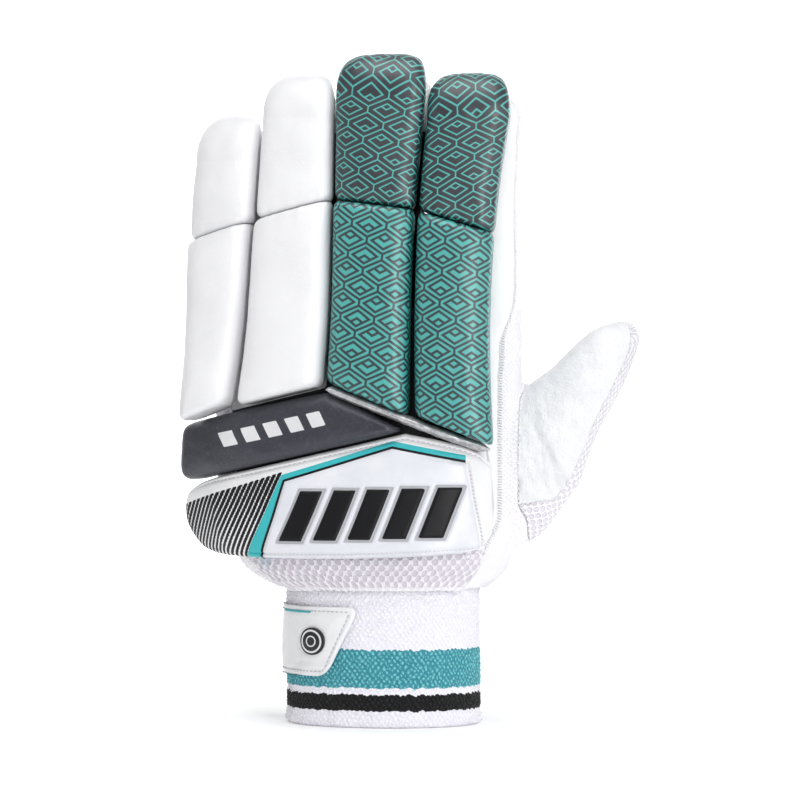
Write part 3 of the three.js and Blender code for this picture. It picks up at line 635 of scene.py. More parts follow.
WHITE = (0.83, 0.83, 0.845)
SHADOW_WHITE_SOFT = (0.79, 0.79, 0.81)
# the shaded teal of the print's weave hollows
SHADED_TEAL = (0.05, 0.33, 0.31)
BRIGHT_TEAL = (0.1, 0.52, 0.48)
BRIGHT_TEAL_GROUND = (0.085, 0.48, 0.45)
INK = (0.012, 0.022, 0.028)
BLACK = (0.008, 0.008, 0.01)
THREAD_WHITE = (0.88, 0.88, 0.9)


def add_grain(finish, height=0.05, size=1.1):
    """The pores and fine creases of coated fabric."""
    finish.relief(finish.cells(size).above(0.1, 0.9), height)
    finish.relief(finish.noise(size * 5, 4), height * 2.5)


def white_cover():
    finish = Finish("white_cover", WHITE, 0.42, **{"Coat Weight": 0.12, "Coat Roughness": 0.4})
    add_grain(finish, 0.035, 0.9)
    finish.color(finish.mix(finish.noise(22, 3).above(0.3, 0.75), WHITE, SHADOW_WHITE_SOFT))
    finish.rough(finish.noise(6, 3) * 0.16 + 0.34)
    return finish.material


def back_cover():
    """The backing: white, with painted shade, near black, where it shows between the bar, the guard and the piping, and
    between the fingers.
    """
    finish = Finish("back_cover", WHITE, 0.5)
    add_grain(finish, 0.035, 0.9)
    # painted shade: the backing is made near black in the gaps between parts, where shade falls
    painted_shade = finish.number("painted_shade").above(-0.2, 0.2)
    finish.color(finish.mix(painted_shade, (0.012, 0.012, 0.015), WHITE))
    return finish.material


# The print on the pads: a honeycomb of wide hexagons, a rhombus in each, and a small rhombus in one corner of that.
CELL_WIDTH, CELL_SIDE, CELL_RISE = 14.4, 2.4, 12.4
# line width, rhombus width and height, the small one's share of it
TIP_PRINT = (0.55, 9.6, 5.6, 0.44)
BASE_PRINT = (0.98, 10.2, 6.2, 0.5)


def lattice_lines(finish, sizes):
    """1 on the lines of the print, 0 between them."""
    line, rhombus_width, rhombus_height, small_share = sizes
    u, v = finish.cover()
    half_width, half_height = CELL_WIDTH / 2, (CELL_RISE - CELL_SIDE) / 2
    slope = (half_height - CELL_SIDE / 2) / half_width

    def cell(shift_u, shift_v):
        across = (u + shift_u).wrapped(CELL_WIDTH)
        along = (v + shift_v).wrapped(CELL_RISE)
        return across, along, half_height - abs(along) - abs(across) * slope

    across_a, along_a, inside_a = cell(0.0, 0.0)
    across_b, along_b, inside_b = cell(half_width, CELL_RISE / 2)
    is_a = inside_a.above(-0.001, 0.001)
    across, along = is_a.choose(across_a, across_b), is_a.choose(along_a, along_b)
    inside = is_a.choose(inside_a, inside_b)
    to_outline = (inside / math.hypot(1, slope)).lesser(half_width - abs(across))

    def to_rhombus(width, height, lift):
        reach = abs(across) / (width / 2) + abs(along - lift) / (height / 2) - 1
        return abs(reach) / math.hypot(2 / width, 2 / height)

    to_middle = to_rhombus(rhombus_width, rhombus_height, 0.0)
    small_height = rhombus_height * small_share
    lift = (is_a * 2 - 1) * ((rhombus_height - small_height) / 2)
    to_small = to_rhombus(rhombus_width * small_share, small_height, lift)
    nearest = to_outline.lesser(to_middle).lesser(to_small)
    return nearest.above(line / 2 + 0.09, line / 2 - 0.09)


def woven_dots(finish, pitch):
    u, v = finish.cover()
    waves = (u * (2 * math.pi / pitch)).sine() * (v * (2 * math.pi / pitch)).sine()
    return waves.above(-0.6, 0.6)


def printed_cover(name, ground, ground_shaded, lines, line_shaded, sizes):
    finish = Finish(name, ground, 0.36, **{"Coat Weight": 0.6, "Coat Roughness": 0.36, "Specular IOR Level": 0.9})
    mask = lattice_lines(finish, sizes)
    dots = woven_dots(finish, 0.62)
    # Painted shade of the weave: its raised dots get the first colours, the hollows between them darker shaded copies.
    ground_color = finish.mix(dots, ground, ground_shaded)
    line_color = finish.mix(dots, lines, line_shaded)
    finish.color(finish.mix(mask, line_color, ground_color))
    finish.relief(dots, 0.03)
    finish.relief(finish.noise(9, 4), 0.16)
    finish.rough(finish.noise(5, 3) * 0.14 + 0.32)
    return finish.material


def dark_print():
    return printed_cover("dark_print", (0.028, 0.034, 0.045), (0.014, 0.018, 0.026), BRIGHT_TEAL, SHADED_TEAL, TIP_PRINT)


def teal_print():
    return printed_cover("teal_print", BRIGHT_TEAL_GROUND, SHADED_TEAL, INK, (0.02, 0.05, 0.06), BASE_PRINT)


def grey_cover():
    finish = Finish("grey_cover", (0.07, 0.072, 0.088), 0.38, **{"Coat Weight": 0.25, "Coat Roughness": 0.35, "Metallic": 0.25})
    finish.relief(finish.cells(0.75).above(0.05, 0.8), 0.06)
    finish.relief(finish.noise(7, 4), 0.12)
    wear = finish.noise(1.3, 4, roughness=0.7).above(0.5, 0.8)
    ground = finish.mix(wear, (0.1, 0.102, 0.12), (0.06, 0.062, 0.078))
    mark = finish.number("mark").above(-0.07, 0.07)
    finish.color(finish.mix(mark, (0.78, 0.78, 0.8), ground))
    finish.rough(finish.noise(3, 3) * 0.2 + 0.3)
    return finish.material


def silver_piping():
    finish = Finish("silver_piping", (0.5, 0.495, 0.51), 0.34, **{"Metallic": 0.55})
    wear = finish.noise(2.2, 5, roughness=0.7).above(0.3, 0.6)
    finish.color(finish.mix(wear, (0.6, 0.59, 0.605), (0.34, 0.335, 0.35)))
    finish.relief(finish.noise(1.2, 3), 0.08)
    finish.relief(finish.noise(5, 2), 0.2)
    finish.rough(finish.noise(2, 3) * 0.3 + 0.2)
    return finish.material


def palm_leather():
    finish = Finish("palm_leather", (0.8, 0.8, 0.81), 0.55, **{"Sheen Weight": 0.1})
    finish.relief(finish.cells(0.8).above(0.05, 0.7), 0.12)
    finish.relief(finish.cells(2.6, feature="SMOOTH_F1").above(0.1, 0.9), 0.17)
    x, y, z = finish.place()
    finish.relief(finish.noise(1.7, 4, axes=(x, y, z * 0.2)), 0.3)
    finish.relief(finish.noise(8, 5), 0.3)
    finish.color(finish.mix(finish.noise(9, 4).above(0.3, 0.8), (0.815, 0.82, 0.835), (0.745, 0.75, 0.775)))
    finish.rough(finish.noise(4, 3) * 0.2 + 0.42)
    return finish.material


def hole_pattern(finish, pitch_u, pitch_v):
    """1 on the threads of a staggered net, 0 in its holes."""
    u, v = finish.cover()

    def to_hole(shift):
        across = (u + shift * pitch_u).wrapped(pitch_u) / pitch_u
        along = (v + shift * pitch_v).wrapped(pitch_v) / pitch_v
        return (across * across + along * along * 0.8).power(0.5)

    return to_hole(0.0).lesser(to_hole(0.5)).above(0.2, 0.32)


def mesh_fabric(name, pitch_u, pitch_v, depth, hole_shade_color):
    finish = Finish(name, (0.8, 0.78, 0.84), 0.8, **{"Sheen Weight": 0.25, "Sheen Roughness": 0.5})
    threads = hole_pattern(finish, pitch_u, pitch_v)
    fibre = finish.noise(0.5, 3)
    thread_color = finish.mix(fibre, (0.95, 0.94, 0.97), (0.9, 0.885, 0.93))
    # The holes are painted darker than the threads: painted shade of the layer under the mesh.
    finish.color(finish.mix(threads, thread_color, hole_shade_color))
    finish.relief(threads, depth)
    finish.relief(fibre, 0.1)
    finish.relief(finish.noise(10, 3), 0.4)
    return finish.material


def skirt_net():
    """The net over the top of the cuff, whose threads are modelled."""
    finish = Finish("skirt_net", (0.8, 0.78, 0.84), 0.8, **{"Sheen Weight": 0.25})
    fibre = finish.noise(0.45, 3)
    thread_color = finish.mix(fibre, (0.88, 0.865, 0.9), (0.79, 0.77, 0.82))
    # Between the threads, painted shade of the lining under the net.
    finish.color(finish.mix(finish.number("thread").above(0.15, 0.7), thread_color, (0.66, 0.615, 0.675)))
    finish.relief(fibre, 0.12)
    return finish.material


# Heights of the cuff's bands above its hem
BAND_BLACK_LOW, BAND_BLACK_HIGH = 6.6, 13.0
BAND_TEAL_LOW, BAND_TEAL_HIGH = 15.6, 30.6


def cuff_knit():
    finish = Finish("cuff_knit", (0.82, 0.8, 0.88), 0.95, **{"Sheen Weight": 0.12, "Sheen Roughness": 0.6})
    level = finish.number("level")
    loop = finish.number("loop")

    def band(low, high):
        return level.above(low - 0.12, low + 0.12).lesser(level.above(high + 0.12, high - 0.12))

    fibre = finish.noise(0.5, 4, roughness=0.7)
    tufts = finish.cells(1.1).above(0.75, 0.15)
    # Painted shade of the knit: the loops' tops get the light colours, the hollows between them darker shaded copies.
    depth = (loop + tufts * 0.35 - 0.12).above(0.0, 0.75)
    white = finish.mix(depth, (0.97, 0.96, 0.99), (0.86, 0.845, 0.92))
    teal = finish.mix(depth, (0.22, 0.63, 0.68), (0.06, 0.3, 0.36))
    black = finish.mix(depth, (0.02, 0.02, 0.022), (0.004, 0.004, 0.005))
    color = finish.mix(band(BAND_TEAL_LOW, BAND_TEAL_HIGH), teal, white)
    finish.color(finish.mix(band(BAND_BLACK_LOW, BAND_BLACK_HIGH), black, color))
    finish.relief(tufts, 0.22)
    finish.relief(fibre, 0.2)
    return finish.material


def thread(name, color):
    finish = Finish(name, color, 0.6)
    finish.relief(finish.noise(0.3, 2), 0.08)
    finish.color(finish.mix(finish.noise(0.6, 2), color, tuple(c * 0.82 for c in color)))
    return finish.material


def guard_cover():
    """White coated fabric with a moulded panel, whose places are numbers in millimetres at each point."""
    finish = Finish("guard_cover", WHITE, 0.36, **{"Coat Weight": 0.08, "Coat Roughness": 0.25, "Specular IOR Level": 0.3})
    edge = 0.07
    panel = finish.number("panel")
    frame_inside = finish.number("band")
    motif = finish.number("motif")
    is_panel = panel.above(-edge, edge)
    is_band = frame_inside.above(-edge, edge).lesser(finish.number("band_shown").above(0.4, 0.6))
    is_black_line = panel.above(-0.95 - edge, -0.95 + edge)
    stripe = finish.number("stripe")
    is_stripe = stripe.above(-edge, edge)
    patch = finish.noise(14, 3).above(0.3, 0.7)
    white = finish.mix(patch, WHITE, SHADOW_WHITE_SOFT)
    panel_white = finish.mix(patch, (0.76, 0.77, 0.81), (0.7, 0.71, 0.76))
    color = finish.mix(is_stripe, BLACK, white)
    color = finish.mix(is_band, finish.mix(is_black_line, BLACK, (0.06, 0.49, 0.52)), color)
    color = finish.mix(is_panel, panel_white, color)
    color = finish.mix(motif.above(-1.2, -1.0), (0.46, 0.47, 0.5), color)
    color = finish.mix(motif.above(-edge, edge), BLACK, color)
    finish.color(color)
    is_smooth = motif.above(-1.2, -0.9)
    finish.relief(is_smooth.choose(0.5, finish.cells(0.9).above(0.1, 0.9)), 0.03)
    gloss = is_panel.choose(0.26, 0.4)
    finish.rough(is_smooth.choose(0.5, gloss))
    return finish.material


def badge_finish():
    finish = Finish("badge_black", BLACK, 0.3, **{"Coat Weight": 0.3})
    reach = finish.number("reach")
    rim = reach.above(0.7, 0.73).lesser(reach.above(0.87, 0.84))
    inner = reach.above(0.3, 0.33).lesser(reach.above(0.43, 0.4))
    finish.color(finish.mix(rim.greater(inner), (0.7, 0.7, 0.72), BLACK))
    finish.relief(finish.noise(0.8, 3), 0.05)
    return finish.material


COVER = white_cover()
BACKING = back_cover()
DARK = dark_print()
PRINT = teal_print()
GREY = grey_cover()
SILVER = silver_piping()
LEATHER = palm_leather()
# The last colour of each mesh is the painted shade in its holes.
FINE_MESH = mesh_fabric("fine_mesh", 1.7, 1.9, 0.2, (0.87, 0.855, 0.9))
COARSE_MESH = mesh_fabric("coarse_mesh", 3.2, 3.4, 0.45, (0.72, 0.69, 0.76))
NET = skirt_net()
KNIT = cuff_knit()
GUARD_COVER = guard_cover()
BADGE = badge_finish()
THREAD = thread("white_thread", THREAD_WHITE)
# Grey thread for the guard and the strap: partly the thread's own grey-beige, partly painted shade of the grooves it is
# sewn in.
GREY_THREAD_AND_SHADE = thread("grey_thread_and_shade", (0.6, 0.6, 0.64))
TEAL_THREAD = thread("teal_trim", (0.06, 0.45, 0.47))


# The sewn layers


def remeshed_body(voxel):
    """One skin over the hand, the finger stalls and the thumb."""
    angles = np.linspace(0, 2 * math.pi, 120, endpoint=False)
    heights = np.concatenate([np.linspace(SKIRT_BOTTOM - 4, SKIRT_BOTTOM, 3), np.linspace(SKIRT_BOTTOM + 1, CROTCH, 80)])
    hand = np.array([hand_ring(max(z, SKIRT_BOTTOM), angles) + [0, 0, min(z - SKIRT_BOTTOM, 0)] for z in heights])
    lofts = [hand, thumb_rings()] + [stall_rings(index) for index in range(4)]
    points, faces = [], []
    for rings in lofts:
        start = sum(len(p) for p in points)
        rows, columns = rings.shape[:2]
        faces += [tuple(i + start for i in face) for face in ring_faces(rows, columns)]
        points.append(rings.reshape(-1, 3))
    mesh = bpy.data.meshes.new("body")
    mesh.from_pydata(np.concatenate(points).tolist(), [], faces)
    mesh.validate()
    body = bpy.data.objects.new("body", mesh)
    bpy.context.scene.collection.objects.link(body)
    remesh = body.modifiers.new("one_skin", "REMESH")
    remesh.mode = "VOXEL"
    remesh.voxel_size = voxel
    evaluated = body.evaluated_get(bpy.context.evaluated_depsgraph_get())
    result = bpy.data.meshes.new_from_object(evaluated)
    result.calc_loop_triangles()
    skin = np.empty(len(result.vertices) * 3)
    result.vertices.foreach_get("co", skin)
    triangles = np.empty(len(result.loop_triangles) * 3, dtype=np.int32)
    result.loop_triangles.foreach_get("vertices", triangles)
    bpy.data.objects.remove(body)
    bpy.data.meshes.remove(mesh)
    bpy.data.meshes.remove(result)
    return skin.reshape(-1, 3), triangles.reshape(-1, 3)


def relax(points, triangles, rounds):
    """Evens out the skin without shrinking it."""
    edges = np.concatenate([triangles[:, [0, 1]], triangles[:, [1, 2]], triangles[:, [2, 0]]])
    count = np.bincount(edges.ravel(), minlength=len(points))[:, None]
    for round_index in range(rounds * 2):
        total = np.zeros_like(points)
        for a, b in ((0, 1), (1, 0)):
            for k in range(3):
                total[:, k] += np.bincount(edges[:, a], points[edges[:, b], k], minlength=len(points))
        weight = 0.55 if round_index % 2 == 0 else -0.53
        points = points + weight * (total / count - points)
    return points


BODY_VOXEL = 1.25
SEAM_GAP = 0.1
# How far right the back panel's front strip reaches, beside the pads
BACK_RIGHT = 48.4
THUMB_MIDDLE = thumb_rings()[30].mean(axis=0)
THUMB_AXIS = unit(np.array([THUMB_REACH * 0.9, 0, THUMB_RISE * 1.9]))
THUMB_DOWN = np.array([THUMB_AXIS[2], 0, -THUMB_AXIS[0]])
THUMB_NORMAL = THUMB_DOWN * math.cos(math.radians(62)) + np.array([0, math.sin(math.radians(62)), 0])


def skin_fields(points):
    """Signed distances, roughly, that part the skin along its seams."""
    x, y, z = points.T
    thumb_left = 55.5 + 4 * smooth(z, 128, 144) + 3 * smooth(-z, -88, -80)
    along_thumb = (points - THUMB_MIDDLE) @ THUMB_NORMAL + 1.5
    below_leather = 87.6 + 0.15 * (x - 58) - z
    middle_y = body_section(z)[1] + arch(np.clip(x, -80, 60), z)
    strip_right = BACK_RIGHT - 6 * smooth(-z, -84, -66)
    side_strip = np.minimum(np.minimum(strip_right - x, middle_y - y), z - SKIRT_BOTTOM - SKIRT_HEIGHT - 1)
    back = np.maximum(edge_y("dorsal", x, z) - y, np.where(x > 0, side_strip, -99))
    return {
        "palm": y - edge_y("palm", x, z),
        "back": back,
        "thumb": np.minimum(x - thumb_left, CROTCH + 1 - z),
        "thumb_back": np.maximum(along_thumb, below_leather),
        "skirt": SKIRT_BOTTOM + SKIRT_HEIGHT - z,
        "hem": z - SKIRT_BOTTOM - 0.4,
    }


# x and z of the lower ends of the creases that run down from the thumb's crotch, and their depth
CROTCH_CREASES = [(68.0, 88.0, 0.5), (72.5, 90.0, 0.9), (76.0, 91.0, 1.0), (64.0, 90.0, 0.35)]


def soften(points, triangles):
    """Wrinkles and dents of the soft layers."""
    normals = triangle_normals(points, triangles)
    x, y, z = points.T
    fields = skin_fields(points)
    move = 0.35 * ripple(3, x / 34, y / 34, z / 40)
    near_crotch = bump(x - 61, 9) * smooth(z, 84, 96) * smooth(-z, -150, -128)
    folds = np.sin((x * 0.9 + z * 0.35) * 2 * math.pi / 4.4 + 2.2 * ripple(5, x / 25, y / 25, z / 25))
    move += near_crotch * folds * 0.2 * (fields["palm"] < 0)
    for low_x, low_z, depth in CROTCH_CREASES:
        share = np.clip((126 - z) / (126 - low_z), 0, 1)
        line_x = lerp(60.5, low_x, share) + 0.7 * np.sin(share * 7 + low_x)
        fade = smooth(z, low_z - 2, low_z + 8) * smooth(-z, -128, -112) * (y < 14)
        move += depth * fade * (0.5 * bump(x - line_x - 1.5, 1.2) - bump(x - line_x, 0.75))
    for height, depth in ((196, 1.0), (219, 0.7), (150, 0.6), (118, 0.8)):
        is_palm = smooth(fields["palm"], 0, 4)
        wavy = z - height - 3 * ripple(height, x / 40, octaves=1)
        move -= is_palm * depth * bump(wavy, 1.6)
    on_palm = smooth(fields["palm"], -1, 2) * (x < 52)
    move += on_palm * 0.5 * ripple(8, x / 12, z / 16)
    for seam in ("palm", "back"):
        away = np.abs(fields[seam])
        move -= 0.55 * bump(away, 1.1) * (fields["thumb"] < 0)
        move += 0.25 * bump(away - 2.6, 1.2) * (fields["thumb"] < 0)
    return points + normals * move[:, None]


def side_uv(points, centre_x):
    """Round the hand's edge, and up."""
    x, y, z = points.T
    middle = body_section(z)[1] + arch(x, z)
    around = np.arctan2(y - middle, np.abs(x - centre_x) + 2) * 16
    return np.stack([around, z], 1)


def thumb_uv(points):
    side = np.cross(THUMB_AXIS, THUMB_NORMAL)
    offset = points - THUMB_MIDDLE
    around = np.arctan2(offset @ side, offset @ THUMB_NORMAL + 4) * 15
    return np.stack([around, offset @ THUMB_AXIS], 1)


def layer(name, skin, fields_wanted, material, slot, replaces, uv_of=None, numbers_of=None):
    """A sewn layer: the skin where all the fields are positive, with a thickness."""
    points, triangles = skin
    for pick in fields_wanted:
        points, triangles = clip(points, triangles, pick(points))
    uv = uv_of(points) if uv_of else None
    numbers = numbers_of(points) if numbers_of else None
    piece = make_object(name, points, triangles, [material], uv, numbers, replaces)
    solid = piece.modifiers.new("thickness", "SOLIDIFY")
    solid.thickness = WALL * MM
    solid.offset = -1
    return piece, points, triangles


def field(name, sign=1.0, gap=SEAM_GAP):
    return lambda points: sign * skin_fields(points)[name] - gap


def sew_layers():
    points, triangles = remeshed_body(BODY_VOXEL)
    points = relax(points, triangles, 4)
    points = soften(points, triangles)
    skin = clip(points, triangles, skin_fields(points)["hem"])
    not_thumb, thumb = field("thumb", -1), field("thumb")
    layers = {}
    layers["palm"] = layer(
        "palm_panel_leather", skin, [field("palm"), not_thumb], LEATHER, "palm_leather", ["palm_panel"]
    )

    # Where the backing gets painted shade: the wedge between the knuckle bar and the guard, and the gaps between the
    # fingers.
    def wedge(p):
        x, _, z = p.T
        in_wedge = np.minimum(roof(KNUCKLE_LINE, x) + 0.5 - z, z - roof(GUARD_LINE, x) + 3)
        between_fingers = np.minimum(z - roof(KNUCKLE_LINE, x) + 1, x + 20)
        shown = np.minimum(36 - x, 236 - z)
        return {"painted_shade": np.minimum(np.maximum(in_wedge, between_fingers), shown)}

    layers["back"] = layer(
        "back_panel_cover",
        skin,
        [field("back"), not_thumb, field("skirt", -1)],
        BACKING,
        "white_cover",
        ["back_panel"],
        numbers_of=wedge,
    )
    sides = [field("back", -1), field("palm", -1), not_thumb]
    tips = [float(finger_frame(index, tip_centre(index))[0][0]) for index in range(4)]
    fork = CROTCH - 0.15 * HAND_LENGTH

    def right_of(limit):
        return lambda p: p[:, 0] - limit - SEAM_GAP

    def left_of(limit):
        return lambda p: limit - SEAM_GAP - p[:, 0]

    def outer(p):
        return np.maximum(left_of(tips[0])(p), np.minimum(-p[:, 0], fork + 1 - p[:, 2]))

    def inner(p):
        return np.maximum(right_of(tips[3])(p), np.minimum(p[:, 0], fork + 1 - p[:, 2]))

    def above_fork(p):
        return p[:, 2] - fork

    layers["outer"] = layer(
        "gusset_outer_mesh", skin, sides + [outer], FINE_MESH, "fine_mesh", ["gusset_outer"], lambda p: side_uv(p, -55)
    )
    layers["inner"] = layer(
        "gusset_inner_mesh", skin, sides + [inner], FINE_MESH, "fine_mesh", ["gusset_inner"], lambda p: side_uv(p, 40)
    )
    for i, name in enumerate(("little", "ring", "middle")):
        layers[name] = layer(
            f"fourchette_{name}_mesh",
            skin,
            sides + [right_of(tips[i]), left_of(tips[i + 1]), above_fork],
            FINE_MESH,
            "fine_mesh",
            [f"fourchette_{name}"],
            lambda p: np.stack([p[:, 1], p[:, 2]], 1),
        )
    front = field("thumb_back", -1)
    layers["thumb"] = layer("thumb_leather_cover", skin, [thumb, front], LEATHER, "palm_leather", ["thumb_leather"])
    layers["thumb_mesh"] = layer(
        "thumb_mesh_cover", skin, [thumb, field("thumb_back")], COARSE_MESH, "coarse_mesh", ["thumb_mesh"], thumb_uv
    )
    return layers


def border_stitches(name, layer_made, where, material=THREAD, **settings):
    """Stitches along the part of a layer's border that where() picks."""
    _, points, triangles = layer_made
    normals = triangle_normals(points, triangles)
    count = 0
    for path in border_paths(points, triangles):
        path = np.array(path)
        chosen = where(points[path])
        for run in np.split(np.arange(len(path)), np.flatnonzero(np.diff(chosen.astype(int))) + 1):
            if not chosen[run[0]] or len(run) < 12:
                continue
            line = points[path[run]]
            kernel = np.ones(5) / 5
            padded = np.concatenate([np.repeat(line[:1], 2, 0), line, np.repeat(line[-1:], 2, 0)])
            line = np.stack([np.convolve(padded[:, k], kernel, "valid") for k in range(3)], 1)
            count += 1
            stitch_mesh(f"{name}_{count}", line, normals[path[run]], material, **settings)


# The skirt's net


def skirt_net_piece(rows=56, columns=480):
    """Staggered loops of coarse net round the lower back of the hand, over a lining."""
    angles = np.linspace(-math.pi, 0, 4001)
    grid = []
    for z in np.linspace(SKIRT_BOTTOM, SKIRT_BOTTOM + SKIRT_HEIGHT + 3, rows):
        ring = hand_ring(z, angles)
        front = ring[ring[:, 1] < edge_y("dorsal", ring[:, 0], ring[:, 2])]
        run = np.concatenate([[0], np.cumsum(np.linalg.norm(np.diff(front, axis=0), axis=1))])
        even = np.linspace(0, run[-1], columns)
        grid.append(np.stack([np.interp(even, run, front[:, k]) for k in range(3)], 1))
    grid = np.array(grid)
    normals = -grid_normals(grid)
    if normals[rows // 2, columns // 2, 1] > 0:
        normals = -normals
    run = np.concatenate([[0], np.cumsum(np.linalg.norm(np.diff(grid[rows // 2], axis=0), axis=1))])
    along, up = np.meshgrid(run, grid[:, 0, 2])
    along = along + 0.25 * ripple(11, along / 9, up / 9)
    up = up + 0.25 * ripple(12, along / 9, up / 9)
    pitch_u, pitch_v = 3.7, 4.2

    def to_hole(shift):
        across = ((along / pitch_u + shift) % 1) - 0.5
        rise = ((up / pitch_v + shift) % 1) - 0.5
        return np.hypot(across, rise)

    hole = np.minimum(to_hole(0.0), to_hole(0.5))
    threads = smooth(hole, 0.25, 0.37)
    hem = bump(grid[:, :, 2] - SKIRT_BOTTOM - 0.6, 0.9)
    raised = 0.75 * threads * (1 - 0.4 * smooth(hole, 0.33, 0.5))
    move = raised + 0.35 * ripple(13, along / 30, up / 30) + 0.5 * hem
    points = grid + normals * move[..., None]
    piece = make_object(
        "skirt_net",
        points.reshape(-1, 3),
        sheet_faces(rows, columns),
        [NET],
        numbers={"thread": np.maximum(threads, hem)},
        replaces=["skirt_mesh"],
    )
    solid = piece.modifiers.new("thickness", "SOLIDIFY")
    solid.thickness = 1.2 * MM
    solid.offset = -1
    return piece


# The pads


def end_shape(distance, round_length, thinnest=0.42):
    """How a pad narrows and thins within a rounded end."""
    k = np.sqrt(np.clip(1 - (1 - np.minimum(distance / round_length, 1)) ** 2, 0, 1))
    return 1 - k, lerp(thinnest, 1, k), (1 - thinnest) * 0.17 * (1 - k)


def splay(index):
    """How fast a pad widens with its height to the left and the right, to meet its turned neighbours."""
    turns = [finger[4] for finger in FINGERS]
    left = math.radians(turns[index] - turns[index - 1]) / 2 if index > 0 else 0.0
    right = math.radians(turns[index + 1] - turns[index]) / 2 if index < len(FINGERS) - 1 else 0.0
    return math.tan(left), math.tan(right)


SEAM_CORNER, TIP_CORNER, SEAM_ROUND, TIP_ROUND = 1.5, 10.5, 3.6, 19.0
PRINT_TURN = {"middle_base": 6, "index_base": 3, "middle_tip": 6, "index_tip": -5}


def pad_piece(name, index, length, thickness, far, place, slant, seed):
    """A padded roll: place(run) gives base, across, out and half pitch; slant(run) shears its section."""
    material, slot = {
        "base_pad": (PRINT, "teal_print") if index > 1 else (COVER, "white_cover"),
        "tip_pad": (DARK, "dark_print") if index > 1 else (COVER, "white_cover"),
    }[name]
    node = f"{FINGERS[index][0]}_{name}"
    far_round, far_corner = (TIP_ROUND, TIP_CORNER) if far == "tip" else (SEAM_ROUND, SEAM_CORNER)
    ease = 1 - np.cos(np.linspace(0, math.pi / 2, 16))
    near = ease * SEAM_ROUND
    end = length - ease[::-1] * far_round
    runs = np.concatenate([near, np.linspace(SEAM_ROUND, length - far_round, 60)[1:-1], end])
    across_share, out_share = section(84, 3.5)
    run = runs[:, None]
    is_near = run < length / 2
    distance = np.where(is_near, run, length - run)
    is_seam = is_near | (far == "seam")
    narrow, thick, lift = end_shape(distance, np.where(is_near, SEAM_ROUND, far_round), np.where(is_seam, 0.72, 0.42))
    corner = np.where(is_near, SEAM_CORNER, far_corner)
    half_width = place(run)[3] - PAD_GAP / 2 - corner * narrow
    across = across_share[None, :] * half_width
    base, across_dir, out_dir, _ = place(run + slant(run) * across)
    crown = 1.1 * (1 - across_share[None, :] ** 2) * smooth(distance, 0, 12)
    top = np.clip(out_share, 0, 1)[None, :]
    pucker = (np.sin(across * 2 * math.pi / 5.1 + 2.0 * ripple(seed, across / 14)) + ripple(seed + 1, across / 6)) * 0.5
    move = -0.5 * pucker * np.exp(-distance / 3.2) * top
    move = move + 0.3 * ripple(seed + 2, across / 26, run / 30) * top
    move = move - 0.35 * bump(distance - 3.4, 1.5) * top
    height = thickness * (lift + thick * (1 + out_share[None, :]) / 2) - PAD_EMBED + crown * top + move
    left, right = splay(index)
    widen = np.maximum(height, 0) * np.where(across_share > 0, right, left)[None, :] * across_share[None, :]
    points = base + across_dir * (across + widen * (1 - narrow))[..., None] + out_dir * height[..., None]
    rim = np.linalg.norm(np.diff(points[len(runs) // 2], axis=0), axis=1)
    around = np.concatenate([[0], np.cumsum(rim)])
    around = around - around[int(np.argmax(out_share))]
    turn = math.radians(PRINT_TURN.get(node.removesuffix("_pad"), 0))
    along = run + slant(run) * across
    uv = np.stack([around * math.cos(turn) + along * math.sin(turn), along * math.cos(turn) - around * math.sin(turn)], -1)
    piece = make_object(
        f"{node}_cover",
        points.reshape(-1, 3),
        ring_faces(*points.shape[:2]),
        [material],
        uv=uv.reshape(-1, 2),
        replaces=[node],
    )
    return piece


def roof(line, x):
    apex, height, left, right = line
    run = x - apex * HAND_WIDTH
    return SKIRT_BOTTOM + height * HAND_LENGTH - np.where(run < 0, -run * left, run * right)


# The little finger's base pad reaches further down at its outer corner
OUTER_DROP, OUTER_SLOPE = 1.0, 0.13


def base_pad(index):
    _, _, seam, seam_slope, _ = FINGERS[index]
    seam_z = CROTCH + seam * FINGER_LENGTH - PAD_GAP / 2
    x = float(finger_frame(index, DIVIDER_HEIGHTS[0])[0][0])
    bottom_z = float(roof(KNUCKLE_LINE, x)) + (1.6 if index > 1 else 0) + PAD_GAP / 2
    bottom_slope = -KNUCKLE_LINE[3] if index > 1 else KNUCKLE_LINE[2]
    if index == 0:
        bottom_z -= OUTER_DROP
        bottom_slope += OUTER_SLOPE
    length = seam_z - bottom_z

    def place(run):
        middle, across, out, half_pitch, half_depth = finger_frame(index, bottom_z + run)
        return middle + out * half_depth[..., None], across, out, half_pitch

    def slant(run):
        return lerp(bottom_slope, seam_slope, run / length)

    return pad_piece("base_pad", index, length, BASE_THICKNESS, "seam", place, slant, 20 + index)


def tip_pad(index):
    _, _, seam, seam_slope, _ = FINGERS[index]
    seam_z = CROTCH + seam * FINGER_LENGTH + PAD_GAP / 2
    centre = tip_centre(index)
    straight = centre - seam_z
    reach = float(finger_frame(index, centre)[4]) + TIP_THICKNESS / 2 - PAD_EMBED
    length = straight + reach * PAD_WRAP

    def place(run):
        middle, across, out, half_pitch, half_depth = finger_frame(index, seam_z + np.minimum(run, straight))
        turn = (np.maximum(run - straight, 0) / reach)[..., None]
        turned = out * np.cos(turn) + np.array([0, 0, 1.0]) * np.sin(turn)
        return middle + turned * half_depth[..., None], across, turned, half_pitch

    def slant(run):
        return seam_slope * np.clip(1 - run / straight, 0, 1)

    return pad_piece("tip_pad", index, length, TIP_THICKNESS, "tip", place, slant, 40 + index)


